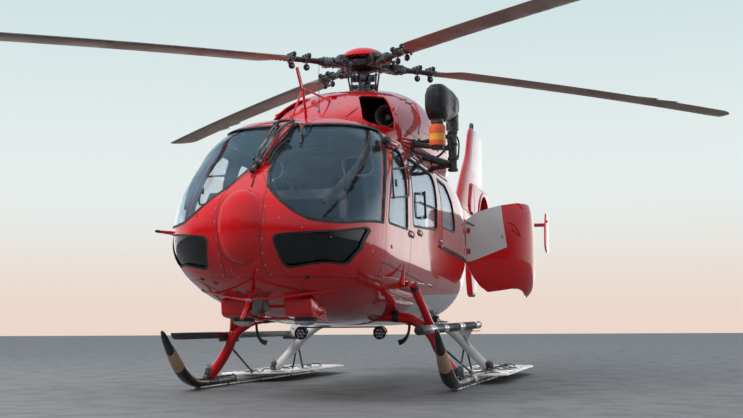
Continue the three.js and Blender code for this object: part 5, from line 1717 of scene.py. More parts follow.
def hoist_arm():
    pod = Part("hoist_boom_detail", "hoist", "black", "black_paint", "steel", "rubber",
               slot="black_plastic", replaces=("hoist_boom",))
    at = [row[0] for row in FAIRING]
    along = np.linspace(0, len(at) - 1, 46)
    rows = [np.interp(along, range(len(at)), column) for column in zip(*FAIRING)]

    def skin(x, z, up, out, angle, lift=0.0):
        row = (x, z - up, z + up, out, z, 2.7, 2.7)
        return section_point(row, angle, -lift) + Vector((0, HOIST_Y, 0))

    pod.take(loft([[skin(*row, a) for a in all_round(48, 0.5)] for row in zip(*rows)]), 0)
    for x in (1.44, 1.05, 0.78):
        z, up, out = (np.interp(x, at[::-1], column[::-1]) for column in list(zip(*FAIRING))[1:])
        seam = [skin(x, z, up, out, a, 0.0006) for a in all_round(40)]
        pod.tube([*seam, seam[0]], 0.0022, 3, 6, 1)
        for a in all_round(12, 0.5):
            pod.turned([(0, -0.001), (0.005, -0.001), (0.004, 0.0018), (0, 0.002)],
                       skin(x + 0.016, z, up, out, a), (0, math.cos(a), math.sin(a)), 2, 8)
    # Cooling slots on both flanks
    for way in (-1, 1):
        for k in range(7):
            x = 1.28 - 0.03 * k
            pod.box((x - 0.008, HOIST_Y + way * 0.106 - 0.004, 2.54),
                    (x + 0.008, HOIST_Y + way * 0.106 + 0.004, 2.64), 3, 0.002)
    pod.turned([(0, 2.447), (0.06, 2.447), (0.0615, 2.452), (0.0615, 2.6), (0, 2.64)],
               (HOIST_X, HOIST_Y, 0), (0, 0, 1), 1, 36)
    pod.turned([(0, 2.374), (0.05, 2.374), (0.056, 2.378), (0.0575, 2.386), (0.0575, 2.45), (0, 2.45)],
               (BUMPER_X, HOIST_Y, 0), (0, 0, 1), 1, 32)
    pod.rod((0.74, HOIST_Y + 0.03, 2.57), (1.0, HOIST_Y + 0.03, 2.515), 0.012, 1)
    pod.tube([(0.69, HOIST_Y - 0.04, 2.58), (0.82, HOIST_Y - 0.06, 2.545), (0.98, HOIST_Y - 0.05, 2.5)],
             0.009, 3, 10)
    pod.done()

    hook = Part("hoist_bumper", "hoist", "orange", "yellow", "black", "steel", slot="orange_rubber",
                replaces=("hoist_hook",))
    bands = [([(0, 2.1405), (0.05, 2.1405), (0.0565, 2.15), (0.0565, 2.173), (0, 2.173)], 2),
             ([(0, 2.172), (0.066, 2.172), (0.0725, 2.18), (0.0735, 2.222), (0, 2.222)], 0),
             ([(0, 2.222), (0.0725, 2.222), (0.0725, 2.282), (0, 2.282)], 1),
             ([(0, 2.282), (0.0735, 2.282), (0.0735, 2.346), (0.066, 2.363), (0.046, 2.3715), (0, 2.3715)],
              0)]
    for profile, finish_index in bands:
        hook.turned(profile, (BUMPER_X, HOIST_Y, 0), (0, 0, 1), finish_index, 40)
    for z in (2.2, 2.3, 2.322):
        hook.turned([(0.066, -0.0035), (0.0741, -0.0025), (0.0741, 0.0025), (0.066, 0.0035)],
                    (BUMPER_X, HOIST_Y, z), (0, 0, 1), 0, 40)
    # The latched hook under the bumper
    hook.rod((BUMPER_X, HOIST_Y, 2.136), (BUMPER_X, HOIST_Y, 2.15), 0.03, 3, segments=24)
    hook.tube([(BUMPER_X, HOIST_Y, 2.145), (BUMPER_X - 0.018, HOIST_Y, 2.137),
               (BUMPER_X - 0.016, HOIST_Y, 2.127),
               (BUMPER_X, HOIST_Y, 2.1235), (BUMPER_X + 0.02, HOIST_Y, 2.128)], 0.0032, 3, 10)
    hook.done()


def wire_cutters():
    upper = Part("wire_cutter_upper_detail", "airframe", "red", "steel", "black", slot="red_paint",
                 replaces=("wire_cutter_upper",))
    foot = Vector((1.955, 0, 2.37))
    upper.rod(foot, (2.05, 0, 2.625), 0.0125, 0, segments=18)
    upper.rod((2.05, 0, 2.63), (1.075, 0, 2.692), 0.0095, 0, segments=16)
    upper.rod((2.05, 0, 2.63), (2.345, 0, 2.31), 0.0095, 0, segments=16)
    upper.slab(rounded([(2.02, 2.6), (2.195, 2.79), (2.24, 2.77), (2.08, 2.59)], 0.012), "y", -0.0078, 0.0078,
               0, 0.004)
    upper.slab([(2.1, 2.63), (2.212, 2.764), (2.216, 2.76), (2.108, 2.626)], "y", -0.0035, 0.0035, 1, 0)
    upper.rod((2.05, -0.022, 2.62), (2.05, 0.022, 2.62), 0.013, 1, segments=12)
    for spot in (Vector((2.35, 0, 0)), Vector((1.955, 0, 0)), Vector((1.08, 0, 0))):
        z = max(hull_guide[0].ray_cast(Vector((spot.x, 0, 4)), Vector((0, 0, -1)))[0].z, 0)
        if spot.x < 1.7:
            z = cowl_height(spot.x, 0)
        upper.box((spot.x - 0.045, -0.028, z - 0.006), (spot.x + 0.045, 0.028, z + 0.008), 0, 0.005)
        for way in (-1, 1):
            upper.turned([(0, 0), (0.008, 0), (0.006, 0.004), (0, 0.005)],
                         (spot.x + way * 0.03, 0.014 * way, z + 0.006), (0, 0, 1), 1, 8)
    upper.done()

    lower = Part("wire_cutter_lower_detail", "airframe", "red", "steel", "black", slot="red_paint",
                 replaces=("wire_cutter_lower",))
    low = Vector((3.47, 0, 0.616))
    joint = Vector((3.325, 0, 0.762))
    start = Vector((3.19, 0, 0.89))
    lower.rod(start, low, 0.0145, 0, end_radius=0.0125, segments=20)
    lower.ball(low, 0.0135, 2, segments=14)
    lower.rod(joint + Vector((0, -0.02, 0)), joint + Vector((0, 0.02, 0)), 0.018, 1, segments=12)
    for sign in (1, -1):
        end = Vector((2.865, sign * 0.56, 0.85))
        hit = hull_guide[0].find_nearest(end)
        lower.tube([joint, (3.11, sign * 0.27, 0.798), hit[0]], 0.0095, 0, 14, 8)
        lower.turned([(0, -0.004), (0.026, -0.004), (0.026, 0.004), (0.014, 0.01), (0, 0.01)], hit[0], hit[1],
                     0, 20)
    lower.slab([(3.3, 0.745), (3.43, 0.632), (3.438, 0.642), (3.33, 0.755)], "y", -0.0035, 0.0035, 1, 0)
    hit = hull_guide[0].find_nearest(start)
    lower.turned([(0, -0.004), (0.034, -0.004), (0.034, 0.004), (0.018, 0.012), (0, 0.012)], hit[0], hit[1],
                 0, 24)
    lower.done()


def belly_lights():
    lights = Part("belly_lights_detail", "airframe", "red", "lamp_glass", "steel", "black", "white",
                  slot="red_paint", replaces=("belly_lights",))
    for _, sign in SIDES:
        y = sign * 0.26
        outline = rounded([(2.978, 0.79), (2.961, 0.666), (2.92, 0.641), (2.56, 0.603), (2.56, 0.76)], 0.03)
        lights.slab(outline, "y", y - 0.112, y + 0.112, 0, 0.016)
        lights.turned([(0, 0.607), (0.09, 0.607), (0.0915, 0.612), (0.0915, 0.65), (0, 0.65)], (2.76, y, 0),
                      (0, 0, 1), 3, 48)
        lights.turned([(0, 0.571), (0.03, 0.573), (0.055, 0.58), (0.075, 0.593), (0.085, 0.608), (0, 0.608)],
                      (2.76, y, 0), (0, 0, 1), 1, 48)
        for a in all_round(8):
            lights.turned([(0, -0.002), (0.005, -0.002), (0.005, 0.001), (0, 0.003)],
                          (2.76 + 0.087 * math.cos(a), y + 0.087 * math.sin(a), 0.6075), (0, 0, -1), 2, 8)
        for x in (2.62, 2.9):
            for way in (-1, 1):
                lights.turned([(0, 0), (0.006, 0), (0.005, 0.003), (0, 0.003)], (x, y + way * 0.1115, 0.67),
                              (0, way, 0), 2, 8)
    lights.box((2.652, -0.2, 0.619), (2.698, 0.2, 0.639), 0, 0.006)
    lights.done()

    lamps = Part("round_lamps_detail", "airframe", "black", "lamp_glass", "steel", "rubber",
                 slot="black_plastic", replaces=("round_lamps",))
    for _, sign in SIDES:
        centre = Vector((0.9, sign * 0.39, 0.5))
        lamps.turned([(0, -0.04), (0.03, -0.04), (0.045, -0.03), (0.058, 0.0), (0.06, 0.02), (0.06, 0.04),
                      (0.055, 0.04), (0.053, 0.03), (0, 0.03)], centre, (1, 0, 0), 0, 40)
        spots = [(0, 0)] + [(0.034 * math.cos(math.pi / 3 * k),
                             0.034 * math.sin(math.pi / 3 * k)) for k in range(6)]
        for dy, dz in spots:
            lamps.turned([(0, 0), (0.0145, 0), (0.0145, 0.004), (0.009, 0.0085), (0, 0.0095)],
                         centre + Vector((0.0285, dy, dz)), (1, 0, 0), 1, 20)
        lamps.rod((0.9, sign * 0.39, 0.55), (0.9, sign * 0.39, 0.5655), 0.0145, 2, segments=16)
        for low, middle, high in ((0.452, 0.45, 0.42), (0.328, 0.33, 0.36)):
            lamps.tube([(0.9, sign * low, 0.5), (0.9, sign * middle, 0.53), (0.9, sign * high, 0.558),
                        (0.9, sign * 0.39, 0.562)], 0.006, 0, 10)
        lamps.tube([(0.865, sign * 0.39, 0.5), (0.83, sign * 0.38, 0.52), (0.82, sign * 0.37, 0.568)], 0.005,
                   3, 8)
    lamps.box((0.882, -0.388, 0.551), (0.918, 0.388, 0.5655), 0, 0.003)
    lamps.done()


hoist_bracket()
hoist_arm()
wire_cutters()
belly_lights()


# Inside the cabin
SEAT_Y = 0.42
PAD_VOXEL = 0.009
PAD_FRAMES = 20


def pillow(name, low, high, crown=0.022, pinch=0.16, channels=()):
    """A padded cushion between two corners, pressed flat where it rests and crowned where it is free.

    channels are sewn lines across its width, given as shares of its length.
    """
    size = [b - a for a, b in zip(low, high)]
    middle = Vector([(a + b) / 2 for a, b in zip(low, high)])
    thin = size.index(min(size))
    wide = [axis for axis in range(3) if axis != thin]
    bm = bmesh.new()
    bmesh.ops.create_cube(bm, size=1)
    cuts = 3
    bmesh.ops.subdivide_edges(bm, edges=bm.edges[:], cuts=cuts, use_grid_fill=True)
    bmesh.ops.scale(bm, vec=[s - 2 * crown * 0.9 if i == thin else s - 0.02 for i, s in enumerate(size)],
                    verts=bm.verts[:])
    start = mesh_of(bevelled(bm, sharp_edges(bm, 57), min(size) * 0.32, 4))
    start = swollen(start, crown)
    bm = bmesh.new()
    bm.from_mesh(start)
    half = [s / 2 for s in size]
    for vert in bm.verts:
        u, v = (vert.co[axis] / half[axis] for axis in wide)
        # Sides pull in between the corners
        vert.co[wide[0]] -= math.copysign(pinch * 0.05 * (1 - v * v) * max(0, abs(u) - 0.8) * 5, u) * 0.5
        vert.co[wide[1]] -= math.copysign(pinch * 0.05 * (1 - u * u) * max(0, abs(v) - 0.8) * 5, v) * 0.5
        along = vert.co[wide[0]] / size[wide[0]] + 0.5
        for at in channels:
            dip = math.exp(-((along - at) * size[wide[0]] / 0.008) ** 2)
            vert.co[thin] -= math.copysign(0.011 * dip * min(1, abs(vert.co[thin]) / half[thin] * 1.4),
                                           vert.co[thin])
        for axis in range(3):
            vert.co[axis] = max(-half[axis] + 0.0005, min(half[axis] - 0.0005, vert.co[axis]))
    bmesh.ops.translate(bm, vec=middle, verts=bm.verts[:])
    for face in bm.faces:
        face.smooth = True
    piece = place(name, mesh_of(bm), "airframe", ("cloth",), slot="seat_cloth")
    return piece


def swollen(mesh, cap):
    """The mesh remeshed and puffed out by a short cloth simulation, no point moving further than the cap."""
    obj = bpy.data.objects.new("pad at work", mesh)
    scene = bpy.context.scene
    scene.collection.objects.link(obj)
    remesh = obj.modifiers.new("remesh", "REMESH")
    remesh.mode, remesh.voxel_size = "VOXEL", PAD_VOXEL
    obj.data = bpy.data.meshes.new_from_object(obj.evaluated_get(bpy.context.evaluated_depsgraph_get()))
    obj.modifiers.clear()
    before = [vert.co.copy() for vert in obj.data.vertices]
    cloth = obj.modifiers.new("cloth", "CLOTH")
    cloth.settings.use_pressure = True
    cloth.settings.uniform_pressure_force = 4.0
    cloth.settings.effector_weights.gravity = 0.0
    cloth.point_cache.frame_start, cloth.point_cache.frame_end = 1, PAD_FRAMES
    for moment in range(1, PAD_FRAMES + 1):
        scene.frame_set(moment)
    made = bpy.data.meshes.new_from_object(obj.evaluated_get(bpy.context.evaluated_depsgraph_get()))
    bpy.data.objects.remove(obj)
    scene.frame_set(1)
    for vert, start in zip(made.vertices, before):
        step = vert.co - start
        if step.length > cap:
            vert.co = start + step.normalized() * cap
    return made


def crew_seats():
    for side, sign in SIDES:
        y = sign * SEAT_Y
        shell = Part(f"crew_seat_{side}_frame", "airframe", "grey_metal", "black", "strap", "steel",
                     "white", slot="seat_cloth", replaces=(f"crew_seat_{side}",))
        # Bucket: pan, back shell and side wings
        shell.box((1.79, y - 0.225, 1.152), (2.235, y + 0.225, 1.172), 0, 0.008)
        shell.box((1.701, y - 0.225, 1.165), (1.724, y + 0.225, 1.875), 0, 0.01)
        for way in (-1, 1):
            shell.slab([(1.704, 1.165), (2.1, 1.165), (2.06, 1.215), (1.83, 1.235), (1.775, 1.6),
                        (1.75, 1.87), (1.704, 1.87)], "y", y + way * 0.217, y + way * 0.229, 0, 0.004)
            for x in (1.83, 2.09):
                shell.box((x - 0.018, y + way * 0.16 - 0.018, 0.9315),
                          (x + 0.018, y + way * 0.16 + 0.018, 1.153), 0, 0.005)
            shell.box((1.812, y + way * 0.16 - 0.02, 0.931), (2.108, y + way * 0.16 + 0.02, 0.955), 3, 0.004)
            shell.rod((1.83, y + way * 0.16, 1.0), (2.09, y + way * 0.16, 1.13), 0.011, 0)
            # Headrest posts and belts
            shell.rod((1.755, y + way * 0.05, 1.84), (1.755, y + way * 0.05, 1.9), 0.007, 3, segments=10)
            belt = [(1.8215, y + way * 0.075, 1.84), (1.8285, y + way * 0.085, 1.7),
                    (1.8305, y + way * 0.1, 1.5),
                    (1.8325, y + way * 0.08, 1.33), (1.87, y + way * 0.035, 1.2935)]
            for a, b in zip(belt, belt[1:]):
                strap(shell, a, b, 0.024, (1, 0, 0.2))
            strap(shell, (1.9, y + way * 0.2, 1.27), (1.9, y + way * 0.03, 1.2945), 0.024, (0.1, 0, 1))
        shell.turned([(0, 0), (0.026, 0), (0.026, 0.008), (0.016, 0.013), (0, 0.013)], (1.9, y, 1.291),
                     (0, 0, 1), 3, 24)
        # White loop that frames the headrest: a painted highlight standing for bright window light, not
        # piping
        loop = [(1.801, y - 0.115, 1.89), (1.801, y + 0.115, 1.89), (1.801, y + 0.12, 2.03),
                (1.801, y - 0.12, 2.03)]
        shell.tube([*loop, loop[0]], 0.006, 4, 8, 6)
        shell.done()
        pillow(f"crew_seat_{side}_pad", (1.785, y - 0.215, 1.172), (2.24, y + 0.215, 1.29), 0.022,
               channels=(0.3, 0.55, 0.8))
        pillow(f"crew_seat_{side}_back", (1.724, y - 0.215, 1.27), (1.82, y + 0.215, 1.872), 0.02,
               channels=(0.5,))
        pillow(f"crew_seat_{side}_headrest", (1.722, y - 0.128, 1.875), (1.8, y + 0.128, 2.048), 0.014)


def strap(part, start, end, half_width, facing, finish_index=2):
    """A flat piece of webbing between two points."""
    start, end = Vector(start), Vector(end)
    ahead = (end - start).normalized()
    up = (Vector(facing) - ahead * Vector(facing).dot(ahead)).normalized()
    side = ahead.cross(up)
    turn = Matrix((ahead, side, up)).transposed().to_4x4()
    webbing = brick(((end - start).length + 0.008, half_width * 2, 0.003), 0.001, 1)
    part.take(moved(webbing, Matrix.Translation((start + end) / 2) @ turn), finish_index)


def bench():
    frame_part = Part("cabin_bench_frame", "airframe", "grey_metal", "black", "strap", "steel",
                      slot="seat_cloth", replaces=("cabin_bench",))
    frame_part.box((0.03, -0.645, 1.181), (0.455, 0.645, 1.2), 0, 0.006)
    frame_part.box((-0.059, -0.645, 1.195), (-0.04, 0.645, 1.895), 0, 0.008)
    for y in (-0.56, -0.2, 0.2, 0.56):
        for x in (0.09, 0.37):
            frame_part.rod((x, y, 0.931), (x, y, 1.185), 0.016, 3, segments=16)
            frame_part.turned([(0, 0), (0.035, 0), (0.035, 0.005), (0.02, 0.009), (0, 0.009)], (x, y, 0.931),
                              (0, 0, 1), 3, 20)
        frame_part.rod((0.09, y, 0.98), (0.37, y, 1.15), 0.009, 0, segments=10)
    frame_part.box((0.065, -0.595, 0.932), (0.395, 0.595, 0.94), 1, 0.002)
    for k in (-1, 0, 1):
        y = 0.43 * k
        for way in (-1, 1):
            strap(frame_part, (0.0385, y + way * 0.09, 1.86), (0.0385, y + way * 0.1, 1.32), 0.023, (1, 0, 0))
            strap(frame_part, (0.09, y + way * 0.18, 1.3), (0.22, y + way * 0.02, 1.301), 0.023, (0, 0, 1))
        frame_part.box((0.2, y - 0.03, 1.297), (0.25, y + 0.03, 1.303), 3, 0.003)
        pillow(f"cabin_bench_pad_{k + 2}", (0.03, y - 0.21, 1.2), (0.458, y + 0.21, 1.299), 0.02,
               channels=(0.35, 0.65))
        pillow(f"cabin_bench_back_{k + 2}", (-0.04, y - 0.21, 1.3), (0.038, y + 0.21, 1.895), 0.017,
               channels=(0.33, 0.66))
    frame_part.done()


def cockpit():
    panel = Part("instrument_panel_detail", "airframe", "black", "screen", "grey_metal", "steel",
                 "rubber", slot="black_plastic", replaces=("instrument_panel",))
    hood = rounded([(2.645, 1.405), (2.815, 1.405), (2.855, 1.56), (2.78, 1.645), (2.605, 1.635),
                    (2.62, 1.6)], 0.02)
    panel.slab(hood, "y", -0.555, 0.555, 0, 0.008)
    # Three large displays and a row of small ones face the crew
    slope = Vector((2.6 - 2.64, 0, 1.64 - 1.4)).normalized()
    for y, half in ((-0.42, 0.12), (-0.14, 0.12), (0.14, 0.12), (0.42, 0.12)):
        middle = Vector((2.625, y, 1.505))
        turn = Matrix((Vector((0, 1, 0)), slope, Vector((0, 1, 0)).cross(slope))).transposed().to_4x4()
        for grow, deep, which in ((0.012, 0.006, 2), (0.0, 0.009, 1)):
            display = brick((2 * (half + grow), 2 * (0.085 + grow), 2 * deep), 0.003)
            panel.take(moved(display, Matrix.Translation(middle) @ turn), which)
        for k in range(6):
            spot = middle + Vector((0, -half + half * 2 / 5 * k, 0)) + slope * 0.103
            panel.rod(spot, spot + Vector((-0.014, 0, 0)), 0.005, 3, segments=8)
    panel.done()

    box = Part("centre_console_detail", "airframe", "black", "grey_metal", "screen", "steel",
               "rubber", "lining", slot="black_plastic", replaces=("centre_console",))
    base = FLOOR_TOP + 0.002
    outline = rounded([(2.325, base), (2.755, base), (2.755, 1.396), (2.625, 1.396), (2.335, 1.178)], 0.015)
    box.slab(outline, "y", -0.108, 0.108, 0, 0.006)
    top_slope = Vector((2.62 - 2.33, 0, 1.399 - 1.18)).normalized()
    out = Vector((-top_slope.z, 0, top_slope.x))
    for k in range(4):
        middle = Vector((2.37, 0, 1.21)) + top_slope * (0.07 * k + 0.02)
        for y in (-0.052, 0.052):
            turn = Matrix((top_slope, Vector((0, 1, 0)), out)).transposed().to_4x4()
            for half, deep, which in (((0.03, 0.046), 0.003, 1), ((0.012, 0.03), 0.0045, 2)):
                unit = brick((2 * half[0], 2 * half[1], 2 * deep), 0.002, 1)
                box.take(moved(unit, Matrix.Translation(middle + Vector((0, y, 0))) @ turn), which)
            for j in (-0.03, 0, 0.03):
                spot = middle + Vector((0, y + j, 0)) - top_slope * 0.02
                box.rod(spot, spot + out * 0.012, 0.005, 3, segments=8)
    box.done()

    # Sticks, collective levers and pedals
    controls = Part("cockpit_controls", "airframe", "black", "rubber", "steel", "grey_metal",
                    "lining", slot="black_plastic")
    for _, sign in SIDES:
        y = sign * SEAT_Y
        controls.tube([(2.33, y, 0.932), (2.36, y, 1.1), (2.31, y, 1.3), (2.3, y, 1.42)], 0.013, 0, 12)
        controls.turned([(0, 0), (0.045, 0), (0.04, 0.03), (0.02, 0.07), (0.0, 0.075)], (2.33, y, 0.931),
                        (0, 0, 1), 1, 20)
        controls.tube([(2.3, y, 1.4), (2.292, y, 1.46), (2.3, y, 1.52)], [0.018, 0.021, 0.024], 1, 14)
        controls.rod((2.282, y - 0.012, 1.515), (2.274, y - 0.012, 1.522), 0.006, 2, segments=8)
        controls.tube([(1.9, y - 0.27, 0.95), (2.12, y - 0.27, 1.12), (2.25, y - 0.27, 1.22)], 0.012, 0, 12)
        controls.tube([(2.22, y - 0.27, 1.195), (2.3, y - 0.27, 1.26)], 0.019, 1, 14)
        for way in (-1, 1):
            controls.rod((2.8, y + way * 0.1, 1.0), (2.72, y + way * 0.1, 1.14), 0.009, 2, segments=10)
            controls.box((2.7, y + way * 0.1 - 0.045, 1.115), (2.716, y + way * 0.1 + 0.045, 1.19), 1, 0.006)
        controls.rod((2.8, y - 0.16, 1.005), (2.8, y + 0.16, 1.005), 0.011, 3, segments=12)
    # Overhead panel between the seats, on a bar under the roof
    controls.box((1.75, -0.13, 2.13), (2.02, 0.13, 2.19), 3, 0.012)
    controls.box((1.7, -0.12, 2.17), (1.78, 0.12, 2.31), 4, 0.012)
    for k in range(8):
        for j in range(3):
            spot = Vector((1.79 + 0.028 * k, -0.07 + 0.07 * j, 2.131))
            controls.rod(spot, spot - Vector((0, 0, 0.014)), 0.004, 2, segments=8)
    controls.done()


def main_gearbox():
    box = Part("main_gearbox_detail", "airframe", "dark_metal", "grey_metal", "steel", "black",
               slot="dark_metal", replaces=("main_gearbox",))
    box.box((-0.23, -0.22, 2.376), (0.23, 0.22, 2.5), 0, 0.02)
    box.turned([(0, 2.47), (0.215, 2.47), (0.22, 2.48), (0.22, 2.53), (0.19, 2.56), (0.12, 2.6), (0.11, 2.64),
                (0, 2.658)],
               (0, 0, 0), (0, 0, 1), 1, 48)
    for a in all_round(12):
        box.rod((0.2 * math.cos(a), 0.2 * math.sin(a), 2.52), (0.2 * math.cos(a), 0.2 * math.sin(a), 2.545),
                0.009, 2, segments=6)
        box.box((0.15 * math.cos(a) - 0.006, 0.15 * math.sin(a) - 0.006, 2.53),
                (0.15 * math.cos(a) + 0.006, 0.15 * math.sin(a) + 0.006, 2.59), 1, 0.002)
    box.done()


crew_seats()
bench()
cockpit()
main_gearbox()


# Tail boom, fin with its duct, fan and stabilisers
FAN_PLACE = Matrix.Translation((FAN_X, 0, FAN_Z)) @ Matrix.Rotation(-math.pi / 2, 4, "X")
WING = ((0.0, 0.0), (0.01, 0.12), (0.03, 0.23), (0.08, 0.36), (0.16, 0.45), (0.3, 0.5), (0.48, 0.45),
        (0.65, 0.34), (0.82, 0.18), (0.95, 0.08), (1.0, 0.05))


def wing_ring(lead, trail, thickness, where):
    """One aerofoil section: where(along, out) gives each point's place."""
    return [Vector(where(lead + (trail - lead) * a, thickness * b)) for a, b in both_faces(WING)]


def station(table, x):
    """The body's section nearest to a place along it."""
    rows = smooth_rows(table, 400)
    return rows[int(np.argmin(abs(rows[:, 0] - x)))]


def hoop(table, x, lift=0.0):
    """Points round a body at a station, lifted off its skin, the last one on the first."""
    row = station(table, x)
    return [section_point(row, 2 * math.pi * k / 40, -lift) for k in range(41)]


def tail_boom():
    outer = mesh_of(body_loft(BOOM, rings=60, around=64))
    guide = surface_guide(outer)
    mesh = combine(outer, ("DIFFERENCE", body_loft(HULL, -CLEAR)),
                   ("DIFFERENCE", body_loft(COWL, -CLEAR, 90, 88)),
                   ("DIFFERENCE", prism(grown(SHROUD, CLEAR), "y", -SHROUD_HALF - CLEAR,
                                        SHROUD_HALF + CLEAR)),
                   ("INTERSECT", block((-6.3, -0.6, 1.5), (0, 0.6, 3))))
    keep_smooth(mesh, (guide,))
    place("tail_boom_skin", mesh, "airframe", ("red",), ("tail_boom",), "red_paint")
    trim = Part("tail_boom_fittings", "airframe", "red", "rubber", "steel", "black", slot="red_paint")
    for x in (-2.95, -3.6, -4.25, -4.9, -5.55):
        trim.tube(hoop(BOOM, x, 0.0004), 0.0018, 1, 6, 1)
        for a in all_round(28, 0.5):
            for dx in (-0.018, 0.018):
                spot = section_point(station(BOOM, x + dx), a)
                out = Vector((0, math.cos(a), math.sin(a)))
                trim.turned([(0, -0.001), (0.0042, -0.001), (0.0036, 0.0014), (0, 0.0018)], spot, out, 2, 8)
    # Cover over the fan's drive shaft, with its latches
    cover = []
    for x, half, high in ((-2.93, 0.02, 0.005), (-3.0, 0.07, 0.034), (-3.2, 0.078, 0.05), (-4.4, 0.074, 0.05),
                          (-5.6, 0.068, 0.048), (-5.9, 0.06, 0.035), (-5.98, 0.02, 0.005)):
        top = max(p.z for p in hoop(BOOM, x)) - 0.012
        ring = [Vector((x, half * math.cos(a), top + (high + 0.012) * max(0.0, math.sin(a)) ** 0.8))
                for a in (math.pi * k / 12 for k in range(13))]
        ring += [Vector((x, -half * 0.5, top - 0.03)), Vector((x, half * 0.5, top - 0.03))]
        cover.append(ring)
    trim.take(loft(cover), 0)
    for x in (-3.3, -3.9, -4.5, -5.1, -5.7):
        top = max(p.z for p in hoop(BOOM, x))
        for y in (-0.072, 0.072):
            trim.box((x - 0.03, y - 0.008, top - 0.004), (x + 0.03, y + 0.008, top + 0.012), 2, 0.003)
        trim.tube([(x + 0.12, -0.076, top + 0.002), (x + 0.12, -0.05, top + 0.041),
                   (x + 0.12, 0, top + 0.0525),
                   (x + 0.12, 0.05, top + 0.041), (x + 0.12, 0.076, top + 0.002)], 0.0015, 1, 6)
    # Blade antenna and a small round one below
    trim.slab([(-4.02, 2.02), (-4.24, 2.02), (-4.3, 1.83), (-4.22, 1.815), (-4.12, 1.86)], "y", -0.008, 0.008,
              0, 0.005)
    trim.turned([(0, -0.02), (0.045, -0.015), (0.05, 0.0), (0.05, 0.03), (0, 0.03)], (-3.2, 0, 2.02),
                (0, 0, 1), 3, 24)
    trim.done()


def tail_fin():
    shroud = prism(rounded(SHROUD, 0.16, 8), "y", -SHROUD_HALF, SHROUD_HALF)
    bevelled(shroud, sharp_edges(shroud), 0.045, 4)
    bumper = prism(rounded(TAIL_BUMPER, 0.09, 6), "y", -0.05, 0.05)
    bevelled(bumper, sharp_edges(bumper), 0.03, 4)
    at, *columns = np.array(FIN).T
    heights = np.array([*np.linspace(at[0], 3.8, 26), 3.82, 3.835, 3.846, 3.85])
    columns = [smooth_values(at, column, heights) for column in columns]
    fin = loft([wing_ring(lead, trail, thick, lambda x, y, z=z: (x, y, z))
                for z, lead, trail, thick in zip(heights, *columns)])
    lip = Part("lip", "airframe")
    lip.matrix = FAN_PLACE
    reach = SHROUD_HALF
    profile = []
    for way in (-1, 1):
        arc = [(DUCT_RADIUS - 0.02, way * (reach + 0.01)), (DUCT_RADIUS + 0.005, way * (reach + 0.02)),
               (DUCT_RADIUS + 0.03, way * (reach + 0.021)), (DUCT_RADIUS + 0.055, way * (reach + 0.014)),
               (DUCT_RADIUS + 0.078, way * (reach - 0.004))]
        profile += arc if way < 0 else arc[::-1]
    lip.turned(profile + profile[:1], segments=96)
    bore = cylinder((FAN_X, -0.4, FAN_Z), (FAN_X, 0.4, FAN_Z), DUCT_RADIUS, 128)
    mesh = combine(shroud, ("UNION", fin), ("UNION", lip.bm),
                   ("UNION", bumper), ("DIFFERENCE", bore),
                   ("DIFFERENCE", prism([(-5.2, 1.9), (-6.3, 1.9), (-6.3, 2.37), (-5.2, 2.37)], "y", -0.3,
                                        0.3)))
    soften(mesh, 32)
    skin = place("tail_fin_skin", mesh, "airframe", ("fin", "red"), ("tail_fin",), "red_paint")
    trim = Part("tail_fin_fittings", "airframe", "red", "rubber", "steel", "black", "red_lens",
                "grey_metal", slot="red_paint")
    trim.rod((-7.02, 0, 3.8), (-7.02, 0, 3.875), 0.035, 5, segments=24)
    trim.turned([(0, 0), (0.038, 0), (0.038, 0.03), (0.034, 0.065), (0.02, 0.084), (0, 0.088)],
                (-7.02, 0, 3.875), (0, 0, 1), 5, 28)
    trim.matrix = FAN_PLACE
    for way in (-1, 1):
        for a in all_round(36, 0.5):
            r = DUCT_RADIUS + 0.06
            trim.turned([(0, -0.001), (0.0055, -0.001), (0.0045, 0.002), (0, 0.0025)],
                        (r * math.cos(a), r * math.sin(a), way * (SHROUD_HALF + 0.0125)), (0, 0, way), 2, 8)
    trim.matrix = Matrix.Identity(4)
    for y in (-0.127, 0.127):
        for line in (((-6.42, y, 2.02), (-6.42, y, 2.84)), ((-6.42, y, 2.84), (-7.9, y, 2.84))):
            trim.tube(line, 0.0016, 1, 6)
    trim.box((-6.62, -0.052, 1.03), (-6.93, 0.052, 1.06), 3, 0.006)
    for x in (-6.66, -6.78, -6.89):
        for y in (-0.054, 0.054):
            trim.turned([(0, -0.002), (0.008, -0.002), (0.006, 0.003), (0, 0.003)], (x, y, 1.09),
                        (0, 1 if y > 0 else -1, 0), 2, 10)
    # White tail light low on the trailing edge
    trim.turned([(0, 0), (0.022, 0), (0.022, 0.015), (0.014, 0.03), (0, 0.034)], (-8.08, 0, 2.75), (-1, 0, 0),
                5, 20)
    trim.done()
    return skin


